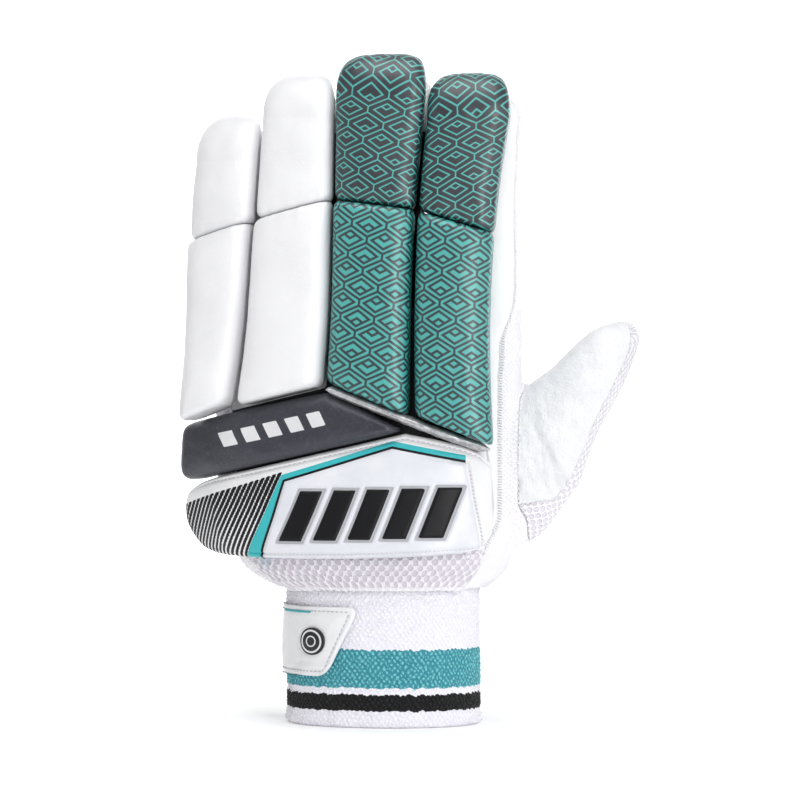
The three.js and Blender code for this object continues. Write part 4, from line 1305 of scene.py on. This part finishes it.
def dorsal_place(x, z):
    """The back of the hand's surface at x and z, and the direction out of it."""
    x, z = np.broadcast_arrays(np.asarray(x, float), np.asarray(z, float))
    middle, y, half_width, half_depth = body_section(z)
    power = section_power(z)
    reach = half_width * 0.88

    def depth_at(at):
        share = np.abs((at - middle) / half_width)
        return y - half_depth * (1 - share**power) ** (1 / power) + arch(at, z)

    step = HAND_WIDTH / 200
    near = middle + np.clip(x - middle, -reach, reach)
    slope = (depth_at(near + step) - depth_at(near - step)) / (2 * step)
    base = np.stack([x, depth_at(near) + slope * (x - near), z], -1)
    return base, unit(np.stack([slope, -np.ones_like(slope), np.zeros_like(slope)], -1))


def cross_pad_points(xs, bottom, top, thickness, end_round, power, count, relief):
    """A pad across the hand. relief(x, z) moves its front out."""
    across_share, out_share = section(count, power)
    distance = np.minimum(xs - xs[0], xs[-1] - xs)[:, None]
    _, thick, lift = end_shape(distance, end_round)
    z = (bottom + top)[:, None] / 2 + across_share[None, :] * (top - bottom)[:, None] / 2
    x = np.broadcast_to(xs[:, None], z.shape)
    base, out = dorsal_place(x, z)
    front = smooth(out_share, 0.3, 0.75)[None, :]
    height = thickness * (lift + thick * (1 + out_share[None, :]) / 2) - PAD_EMBED + relief(x, z) * front
    return base + out * height[..., None], x, z


MARKS_MIDDLE, MARK_PITCH = -37.0, 8.2


def knuckle_bar():
    shares = np.array(BAR_STATIONS["x"])
    ease = 1 - np.cos(np.linspace(0, math.pi / 2, 16))
    first, last = shares[0] * HAND_WIDTH, shares[-1] * HAND_WIDTH
    xs = np.concatenate([first + ease * 5, np.linspace(first + 5, last - 5, 160)[1:-1], last - ease[::-1] * 5])
    low, high = roof(GUARD_LINE, xs) + 0.4, roof(KNUCKLE_LINE, xs) - 0.4
    bottom = lerp(low, high, through(shares, BAR_STATIONS["bottom"], xs / HAND_WIDTH))
    top = lerp(low, high, through(shares, BAR_STATIONS["top"], xs / HAND_WIDTH))

    def relief(x, z):
        return 0.22 * ripple(61, x / 30, z / 20) + 0.1 * ripple(62, x / 7, z / 7)

    points, x, z = cross_pad_points(xs, bottom, top, BAR_THICKNESS, 5.0, 3.2, 120, relief)
    # a row of slanted dashes that follows the bar
    middle = roof(GUARD_LINE, x) * 0.48 + roof(KNUCKLE_LINE, x) * 0.52
    rise = z - middle
    inside = 2.6 - np.abs((x - MARKS_MIDDLE + rise * 0.45 + MARK_PITCH / 2) % MARK_PITCH - MARK_PITCH / 2)
    mark = np.minimum(np.minimum(inside, 3.1 - np.abs(rise)), 2.5 * MARK_PITCH - np.abs(x - MARKS_MIDDLE + rise * 0.45))
    piece = make_object(
        "knuckle_bar_cover",
        points.reshape(-1, 3),
        ring_faces(*points.shape[:2]),
        [GREY],
        numbers={"mark": mark},
        replaces=["knuckle_bar"],
    )
    return piece


# Places on the guard's front, x and z in millimetres from the cuff's axis and the hem
PANEL = [(-41.7, 60.0), (-32.4, 96.6), (8.5, 109.6), (34.6, 104.2), (39.4, 66.6)]
BAND = [(-48.9, 60.0), (-34.0, 99.2), (8.6, 112.6), (35.6, 106.9), (50.0, 60.0)]
STRIPE_TOP = [(-69.0, 88.6), (-34.0, 100.4)]
STRIPE_PITCH = 1.76
MOTIF_CENTRES = [(-25.4, 83.2), (-12.6, 83.6), (0.2, 84.0), (13.0, 84.4), (25.8, 84.8)]
MOTIF_HALF_WIDTH, MOTIF_HALF_HEIGHT, MOTIF_SLANT = 5.2, 11.0, 0.36


def inside_convex(corners, x, z):
    """Distance inside a convex outline given clockwise."""
    nearest = np.full(np.shape(x), 1e9)
    for (ax, az), (bx, bz) in zip(corners, corners[1:] + corners[:1]):
        length = math.hypot(bx - ax, bz - az)
        nearest = np.minimum(nearest, ((x - ax) * (bz - az) - (z - az) * (bx - ax)) / length)
    return nearest


def inside_motif(x, z):
    """Distance inside the nearest of a row of slanted blocks."""
    best = np.full(np.shape(x), -1e9)
    for cx, cz in MOTIF_CENTRES:
        across = np.abs(x - cx - (z - cz) * MOTIF_SLANT) / math.hypot(1, MOTIF_SLANT)
        best = np.maximum(best, np.minimum(MOTIF_HALF_WIDTH - across, MOTIF_HALF_HEIGHT - np.abs(z - cz)))
    return best


def guard_numbers(x, z):
    panel = inside_convex(PANEL, x, z)
    band = inside_convex(BAND, x, z)
    (ax, az), (bx, bz) = BAND[0], BAND[1]
    length = math.hypot(bx - ax, bz - az)
    left_of_band = -((x - ax) * (bz - az) - (z - az) * (bx - ax)) / length
    (cx, cz), (dx, dz) = STRIPE_TOP
    under = ((x - cx) * (dz - cz) - (z - cz) * (dx - cx)) / math.hypot(dx - cx, dz - cz)
    black_share = lerp(0.6, 0.74, smooth(z, 66, 100))
    phase = (left_of_band / STRIPE_PITCH) % 1
    black = (black_share / 2 - np.abs(phase - 0.5 * black_share - 0.1)) * STRIPE_PITCH
    stripe = np.minimum(np.minimum(black, under), left_of_band)
    return {
        "panel": panel,
        "band": band,
        "band_shown": (x < 34.6).astype(float),
        "stripe": stripe,
        "motif": inside_motif(x, z) - 1.2,
    }


def guard_relief(x, z, bottom, top):
    numbers = guard_numbers(x, z)
    panel, motif = numbers["panel"], numbers["motif"]
    move = 0.9 * smooth(panel, -0.1, 1.3)
    move -= 0.9 * bump(panel + 0.6, 0.6) * (x > 30)
    move -= 0.8 * bump(motif + 0.6, 0.6) * (motif > -3)
    move += 0.3 * smooth(motif, 0.0, 0.7)
    move += 0.25 * smooth(numbers["band"], -0.1, 0.4)
    rim = np.minimum(z - bottom, top - z)
    move -= 0.75 * bump(rim - 2.0, 0.45) * (numbers["stripe"] < -0.4)
    move += 0.25 * ripple(71, x / 45, z / 30)
    return move


def guard_outline(xs):
    shares = np.array(GUARD_STATIONS["x"])
    bottom = SKIRT_BOTTOM + through(shares, GUARD_STATIONS["bottom"], xs / HAND_WIDTH) * HAND_LENGTH
    drop = through(shares, GUARD_STATIONS["drop"], xs / HAND_WIDTH) * HAND_LENGTH
    return bottom, roof(GUARD_LINE, xs) - 0.4 - drop


def guard_surface(x, z, lift=0.0):
    """A point on the guard's front and the direction out of it."""
    x, z = np.asarray(x, float), np.asarray(z, float)
    bottom, top = guard_outline(x)
    share = np.clip(np.abs(2 * (z - bottom) / (top - bottom) - 1), 0, 0.999)
    out_share = (1 - share**4) ** 0.25
    first, last = GUARD_STATIONS["x"][0] * HAND_WIDTH, GUARD_STATIONS["x"][-1] * HAND_WIDTH
    _, thick, raise_share = end_shape(np.minimum(x - first, last - x), 5.0)
    base, out = dorsal_place(x, z)
    front = smooth(out_share, 0.3, 0.75)
    height = GUARD_THICKNESS * (raise_share + thick * (1 + out_share) / 2) - PAD_EMBED
    height = height + guard_relief(x, z, bottom, top) * front + lift
    return base + out * height[..., None], out


def backhand_guard():
    first, last = GUARD_STATIONS["x"][0] * HAND_WIDTH, GUARD_STATIONS["x"][-1] * HAND_WIDTH
    ease = 1 - np.cos(np.linspace(0, math.pi / 2, 14))
    xs = np.concatenate([first + ease * 5, np.linspace(first + 5, last - 5, 236)[1:-1], last - ease[::-1] * 5])
    bottom, top = guard_outline(xs)

    def relief(x, z):
        return guard_relief(x, z, bottom[:, None], top[:, None])

    points, x, z = cross_pad_points(xs, bottom, top, GUARD_THICKNESS, 5.0, 4, 190, relief)
    piece = make_object(
        "backhand_guard_cover",
        points.reshape(-1, 3),
        ring_faces(*points.shape[:2]),
        [GUARD_COVER],
        numbers=guard_numbers(x, z),
        replaces=["backhand_guard"],
    )
    run = np.linspace(-66, 40, 260)
    line_top = guard_outline(run)[1] - 2.0
    line, out = guard_surface(run, line_top)
    stitch_mesh("guard_top_stitches", line, out, GREY_THREAD_AND_SHADE, pitch=2.1, length=1.4, radius=0.2, lift=0.02)
    run = np.linspace(-37, 36.5, 220)
    line, out = guard_surface(run, guard_outline(run)[0] + 2.0)
    stitch_mesh("guard_bottom_stitches", line, out, GREY_THREAD_AND_SHADE, pitch=1.7, length=1.15, radius=0.2, slant=0.5, lift=0.02)
    up = np.linspace(71, 102, 90)
    line, out = guard_surface(35.8 + (103 - up) * 0.128, up)
    stitch_mesh("guard_side_stitches", line, out, GREY_THREAD_AND_SHADE, pitch=1.5, length=1.3, radius=0.22, slant=0.7, lift=0.02)
    return piece


# A thin welt that curves down the back beside the guard, and its heights
WELT = {"x": [42.6, 46.0, 46.4, 44.2], "z": [72.5, 80.0, 92.0, 109.0]}


def side_welt():
    z = np.linspace(WELT["z"][0], WELT["z"][-1], 80)
    base, out = dorsal_place(through(WELT["z"], WELT["x"], z), z)
    cord_mesh("side_welt", base, out, COVER, width=1.6, height=1.3, lift=0.1)


def knuckle_piping():
    first, last = (KNUCKLE_LINE[0] + 0.004) * HAND_WIDTH, (DIVIDERS[-1][0] - 0.035) * HAND_WIDTH
    xs = np.linspace(first - 1.0, last, 110)
    z = roof(KNUCKLE_LINE, xs) - 1.1
    base, out = dorsal_place(xs, z)
    across_share, out_share = section(28, 2.4)
    fade = np.sqrt(np.clip(np.minimum(xs - xs[0], xs[-1] - xs) / 2.0, 0.05, 1))[:, None]
    twist = 0.25 * ripple(81, xs / 9)[:, None]
    width = 2.1 * fade * (1 + 0.08 * ripple(82, xs / 12))[:, None]
    height = 14.5 * (1 + out_share[None, :]) / 2 - PAD_EMBED + twist
    up = np.array([0, 0, 1.0])
    points = base[:, None] + up * (across_share[None, :] * width)[..., None] + out[:, None] * height[..., None]
    piece = make_object(
        "knuckle_piping_roll",
        points.reshape(-1, 3),
        ring_faces(*points.shape[:2]),
        [SILVER],
        replaces=["knuckle_piping"],
    )
    return piece


# The cuff


def around_cuff(angle, grow, z):
    """A point on an oval round the cuff, by its angle from the back's middle to the little finger."""
    x = -np.sin(angle) * (CUFF_WIDTH / 2 + grow)
    y = -np.cos(angle) * (CUFF_DEPTH / 2 + grow)
    return np.stack(np.broadcast_arrays(x, y, z), -1)


# The size of the knit's loops
LOOP_WIDTH, LOOP_HEIGHT = 1.85, 1.4


def wrist_cuff():
    """A tube of knobbly knit, its loops modelled in staggered rows."""
    columns, rows = 580, 142
    angles = np.linspace(0, 2 * math.pi, columns, endpoint=False)
    z = np.linspace(0.35, CUFF_HEIGHT - 0.2, rows)
    angle, level = np.meshgrid(angles, z)
    mean_radius = (CUFF_WIDTH + CUFF_DEPTH) / 4
    # whole numbers of loops close up round the tube
    loops_round = 2 * round(2 * math.pi * mean_radius / LOOP_WIDTH)
    shift = 0.3 * ripple(91, np.cos(angle) * 8, np.sin(angle) * 8, level / 5)
    u = angle * loops_round / 2 + shift * 3
    v = (level + 0.5 * ripple(92, np.cos(angle) * 7, np.sin(angle) * 7, level / 6)) * math.pi / LOOP_HEIGHT
    loop = np.maximum(np.cos(u) * np.cos(v), 0) ** 0.75
    loop *= 0.85 + 0.45 * ripple(93, np.cos(angle) * 22, np.sin(angle) * 22, level / 2.1)
    loop = np.maximum(loop, 0)
    sag = 0.35 * ripple(94, np.cos(angle) * 1.6, np.sin(angle) * 1.6, level / 45)
    hem = 0.5 * bump(level - 2.2, 2.0) - 0.9 * smooth(-level, -1.3, -0.2)
    top = -0.5 * smooth(level, CUFF_HEIGHT - 3, CUFF_HEIGHT)
    rib = -0.25 * bump(level - (BAND_BLACK_HIGH + BAND_TEAL_LOW) / 2, 0.8) - 0.2 * bump(level - BAND_BLACK_LOW, 0.8)
    grow = -0.35 + 0.62 * loop + sag + hem + top + rib
    outer = around_cuff(angle, grow, level)
    inner_levels = np.concatenate([z[::-8], [z[0]]])
    inner = around_cuff(angles, -CUFF_WALL, inner_levels[:, None])
    low = around_cuff(angles, -CUFF_WALL * 0.5, np.full(columns, 0.0))[None]
    rings = np.concatenate([outer, inner, low])
    total = len(rings)
    faces = ring_faces(total, columns, is_open=True)
    last = (total - 1) * columns
    faces += [(last + i, last + (i + 1) % columns, (i + 1) % columns, i) for i in range(columns)]
    plain = np.zeros((total - rows, columns))
    stitched_level = level + 0.45 * (loop - 0.4) + 0.35 * ripple(95, np.cos(angle) * 9, np.sin(angle) * 9)
    numbers = {
        "loop": np.concatenate([loop, plain + 0.6]),
        "level": np.concatenate([stitched_level, rings[rows:, :, 2]]),
    }
    return make_object(
        "wrist_cuff_knit", rings.reshape(-1, 3), faces, [KNIT], numbers=numbers, replaces=["wrist_cuff"]
    )


STRAP_THICKNESS, STRAP_HEIGHT, STRAP_BOTTOM, STRAP_SLANT = 1.9, 27.5, 20.0, 0.52
# The radius of its front corners, and how far its stitches lie inside the edge
STRAP_CORNER, STRAP_INSET = 4.5, 1.9
STRAP_START, STRAP_END = math.asin(0.27), math.pi + math.asin(0.2)


def strap_angle(share, z):
    """The strap's angle round the cuff, with its front end slanted and its corners rounded."""
    middle = STRAP_BOTTOM + STRAP_HEIGHT / 2
    slant = (STRAP_SLANT / (CUFF_WIDTH / 2)) * (1 - np.minimum(share * 3, 1))
    past = np.maximum(np.abs(z - middle) - (STRAP_HEIGHT / 2 - STRAP_CORNER), 0) / STRAP_CORNER
    corner = STRAP_CORNER * (1 - np.sqrt(np.clip(1 - past**2, 0, 1))) / (CUFF_WIDTH / 2)
    corner = corner * (1 - np.minimum(share * 8, 1))
    return lerp(STRAP_START, STRAP_END, share) - slant * (z - middle) + corner


def strap_surface(share, z, lift=0.0):
    angle = strap_angle(share, z)
    sunk = 0.9 * smooth(share, 0.06, 0.25)
    return around_cuff(angle, 0.4 + STRAP_THICKNESS + lift - sunk, z), unit(around_cuff(angle, 0, 0 * z))


def wrist_strap():
    shares = np.linspace(0, 1, 150) ** 1.15
    across_share, out_share = section(96, 7)
    middle = STRAP_BOTTOM + STRAP_HEIGHT / 2
    z = middle + across_share[None, :] * STRAP_HEIGHT / 2
    share = shares[:, None]
    end = np.sqrt(np.clip(np.minimum(share / 0.012, 1), 0.02, 1))
    rim = np.minimum(STRAP_HEIGHT / 2 - np.abs(z - middle), share * 100)
    groove = -0.5 * bump(rim - 1.9, 0.55) * (out_share > 0.3)[None, :]
    fold = 0.8 * bump(z - STRAP_BOTTOM - 3.4, 0.9) * smooth(-share, -0.25, -0.1) * (out_share > 0.3)[None, :]
    fold = fold - 0.5 * bump(z - STRAP_BOTTOM - 5.0, 0.4) * smooth(-share, -0.25, -0.1) * (out_share > 0.3)[None, :]
    grow = 0.5 + STRAP_THICKNESS * (0.5 + out_share[None, :] / 2 * end) + groove + fold
    grow = grow - 0.9 * smooth(share, 0.06, 0.25) * (out_share > 0.3)[None, :]
    grow = grow + 0.2 * ripple(101, share * 8, z / 20) * (out_share > 0.3)[None, :]
    points = around_cuff(strap_angle(share, z), grow, z)
    piece = make_object(
        "wrist_strap_cover",
        points.reshape(-1, 3),
        ring_faces(*points.shape[:2]),
        [COVER],
        replaces=["wrist_strap"],
    )
    low, high = STRAP_BOTTOM + STRAP_INSET, STRAP_BOTTOM + STRAP_HEIGHT - STRAP_INSET
    along = np.linspace(0.02, 0.95, 300)
    up = np.linspace(low, high, 60)
    for name, where, height in (("low", along, along * 0 + low), ("high", along, along * 0 + high), ("end", up * 0 + 0.02, up)):
        line, out = strap_surface(where, height, -0.15)
        stitch_mesh(f"strap_stitches_{name}", line, out, GREY_THREAD_AND_SHADE, pitch=2.0, length=1.45, radius=0.24)
    short = np.linspace(0.15, 0.31, 50)
    line, out = strap_surface(short, short * 0 + high - 0.4, 0.0)
    cord_mesh("strap_teal_trim", line, out, TEAL_THREAD, width=0.9, height=0.5)
    return piece


def strap_badge():
    """A round domed badge that lies on the strap."""
    angle = math.asin(0.57)
    z = STRAP_BOTTOM + STRAP_HEIGHT / 2
    reach = np.concatenate([np.linspace(0.02, 0.95, 40), [0.985, 1.0, 1.0]])
    turns = np.linspace(0, 2 * math.pi, 72, endpoint=False)
    radius, turn = np.meshgrid(reach, turns, indexing="ij")
    lift = 1.3 - 0.25 * radius**2
    lift[-2:] -= [[0.25], [1.2]]
    lift = lift + 0.12 * bump(radius - 0.79, 0.06) - 0.1 * bump(radius - 0.62, 0.05)
    across = np.cos(turn) * radius * 5.4
    up = np.sin(turn) * radius * 5.4
    here = angle - across / math.hypot(math.cos(angle) * CUFF_WIDTH / 2, math.sin(angle) * CUFF_DEPTH / 2)
    points = around_cuff(here, 0.4 + STRAP_THICKNESS + lift, z + up)
    faces = ring_faces(*points.shape[:2])
    return make_object(
        "strap_badge_disc",
        points.reshape(-1, 3),
        faces,
        [BADGE],
        numbers={"reach": radius},
        replaces=["strap_badge"],
    )


# The stage, the light and the camera


def stage():
    """A pale sweep: a floor that curves up far behind."""
    size, turn_at, turn_radius = 4.0, 1.6, 0.8
    profile = [(-size, 0.0), (turn_at, 0.0)]
    for step in range(1, 13):
        angle = step / 12 * math.pi / 2
        profile.append((turn_at + math.sin(angle) * turn_radius, turn_radius * (1 - math.cos(angle))))
    profile.append((turn_at + turn_radius, 3.5))
    vertices = [(side * size, y, z) for y, z in profile for side in (-1, 1)]
    faces = [(2 * i, 2 * i + 1, 2 * i + 3, 2 * i + 2) for i in range(len(profile) - 1)]
    mesh = bpy.data.meshes.new("sweep")
    mesh.from_pydata(vertices, [], faces)
    mesh.polygons.foreach_set("use_smooth", [True] * len(mesh.polygons))
    material = bpy.data.materials.new("sweep_white")
    material.use_nodes = True
    shader = material.node_tree.nodes["Principled BSDF"]
    shader.inputs["Base Color"].default_value = (0.95, 0.95, 0.95, 1)
    shader.inputs["Roughness"].default_value = 0.9
    shader.inputs["Specular IOR Level"].default_value = 0.1
    shader.inputs["Emission Color"].default_value = (1, 1, 1, 1)
    shader.inputs["Emission Strength"].default_value = 0.1
    mesh.materials.append(material)
    floor = bpy.data.objects.new("sweep", mesh)
    bpy.context.scene.collection.objects.link(floor)


VIEW_AZIMUTH = math.radians(10)
CAMERA_DISTANCE, CAMERA_HEIGHT, CAMERA_RIGHT = 1.3, 0.1287, 0.0068
# The width seen at the cuff's axis
VIEW_WIDTH = 0.32


def camera():
    across = Vector((math.cos(VIEW_AZIMUTH), math.sin(VIEW_AZIMUTH), 0))
    away = Vector((-math.sin(VIEW_AZIMUTH), math.cos(VIEW_AZIMUTH), 0))
    data = bpy.data.cameras.new("camera")
    data.sensor_width = 36
    data.lens = 36 * CAMERA_DISTANCE / VIEW_WIDTH
    data.clip_end = 50
    eye = bpy.data.objects.new("camera", data)
    place = Vector(CUFF_AXIS) * MM + across * CAMERA_RIGHT - away * CAMERA_DISTANCE
    eye.location = place + Vector((0, 0, CAMERA_HEIGHT))
    eye.rotation_euler = away.to_track_quat("-Z", "Y").to_euler()
    bpy.context.scene.collection.objects.link(eye)
    bpy.context.scene.camera = eye


def area_light(name, place, target, size, power):
    data = bpy.data.lights.new(name, "AREA")
    data.shape = "RECTANGLE"
    data.size, data.size_y = size
    data.energy = power
    lamp = bpy.data.objects.new(name, data)
    lamp.location = place
    lamp.rotation_euler = (Vector(target) - Vector(place)).to_track_quat("-Z", "Y").to_euler()
    bpy.context.scene.collection.objects.link(lamp)


def lights():
    middle = (0, 0, 0.14)
    area_light("key", (0.66, -1.2, 0.35), middle, (0.13, 1.1), 8.0)
    area_light("fill", (-1.3, -0.9, 0.5), middle, (0.9, 1.2), 2.2)
    area_light("side", (1.3, -0.35, 0.4), middle, (0.8, 1.1), 3.4)
    area_light("top", (0.0, -0.3, 1.4), middle, (1.1, 1.1), 9.3)
    area_light("rim", (-0.9, 0.8, 0.6), middle, (0.6, 1.0), 1.6)
    area_light("backdrop", (0, 1.0, 1.3), (0, 2.4, 0.7), (3.0, 1.0), 62)
    world = bpy.data.worlds.new("studio")
    world.use_nodes = True
    world.node_tree.nodes["Background"].inputs["Color"].default_value = (1, 1, 1, 1)
    world.node_tree.nodes["Background"].inputs["Strength"].default_value = 0.3
    bpy.context.scene.world = world
    bpy.context.scene.view_settings.view_transform = "Standard"
    bpy.context.scene.view_settings.gamma = 0.88
    bpy.context.scene.view_settings.exposure = 0.1


camera()
stage()
lights()
layers = sew_layers()
skirt_net_piece()
for finger_index in range(4):
    base_pad(finger_index)
    tip_pad(finger_index)
knuckle_bar()
backhand_guard()
side_welt()
knuckle_piping()
wrist_cuff()
wrist_strap()
strap_badge()
border_stitches(
    "back_overlock",
    layers["back"],
    lambda p: (p[:, 0] > 20) & (p[:, 2] > 70),
    pitch=1.05,
    length=3.0,
    radius=0.42,
    slant=1.35,
    lift=0.25,
)
border_stitches("palm_seam", layers["palm"], lambda p: p[:, 2] > 70, slant=0.6)
border_stitches("thumb_seam", layers["thumb"], lambda p: p[:, 2] > 60, pitch=2.0, slant=0.3)

bpy.context.view_layer.update()
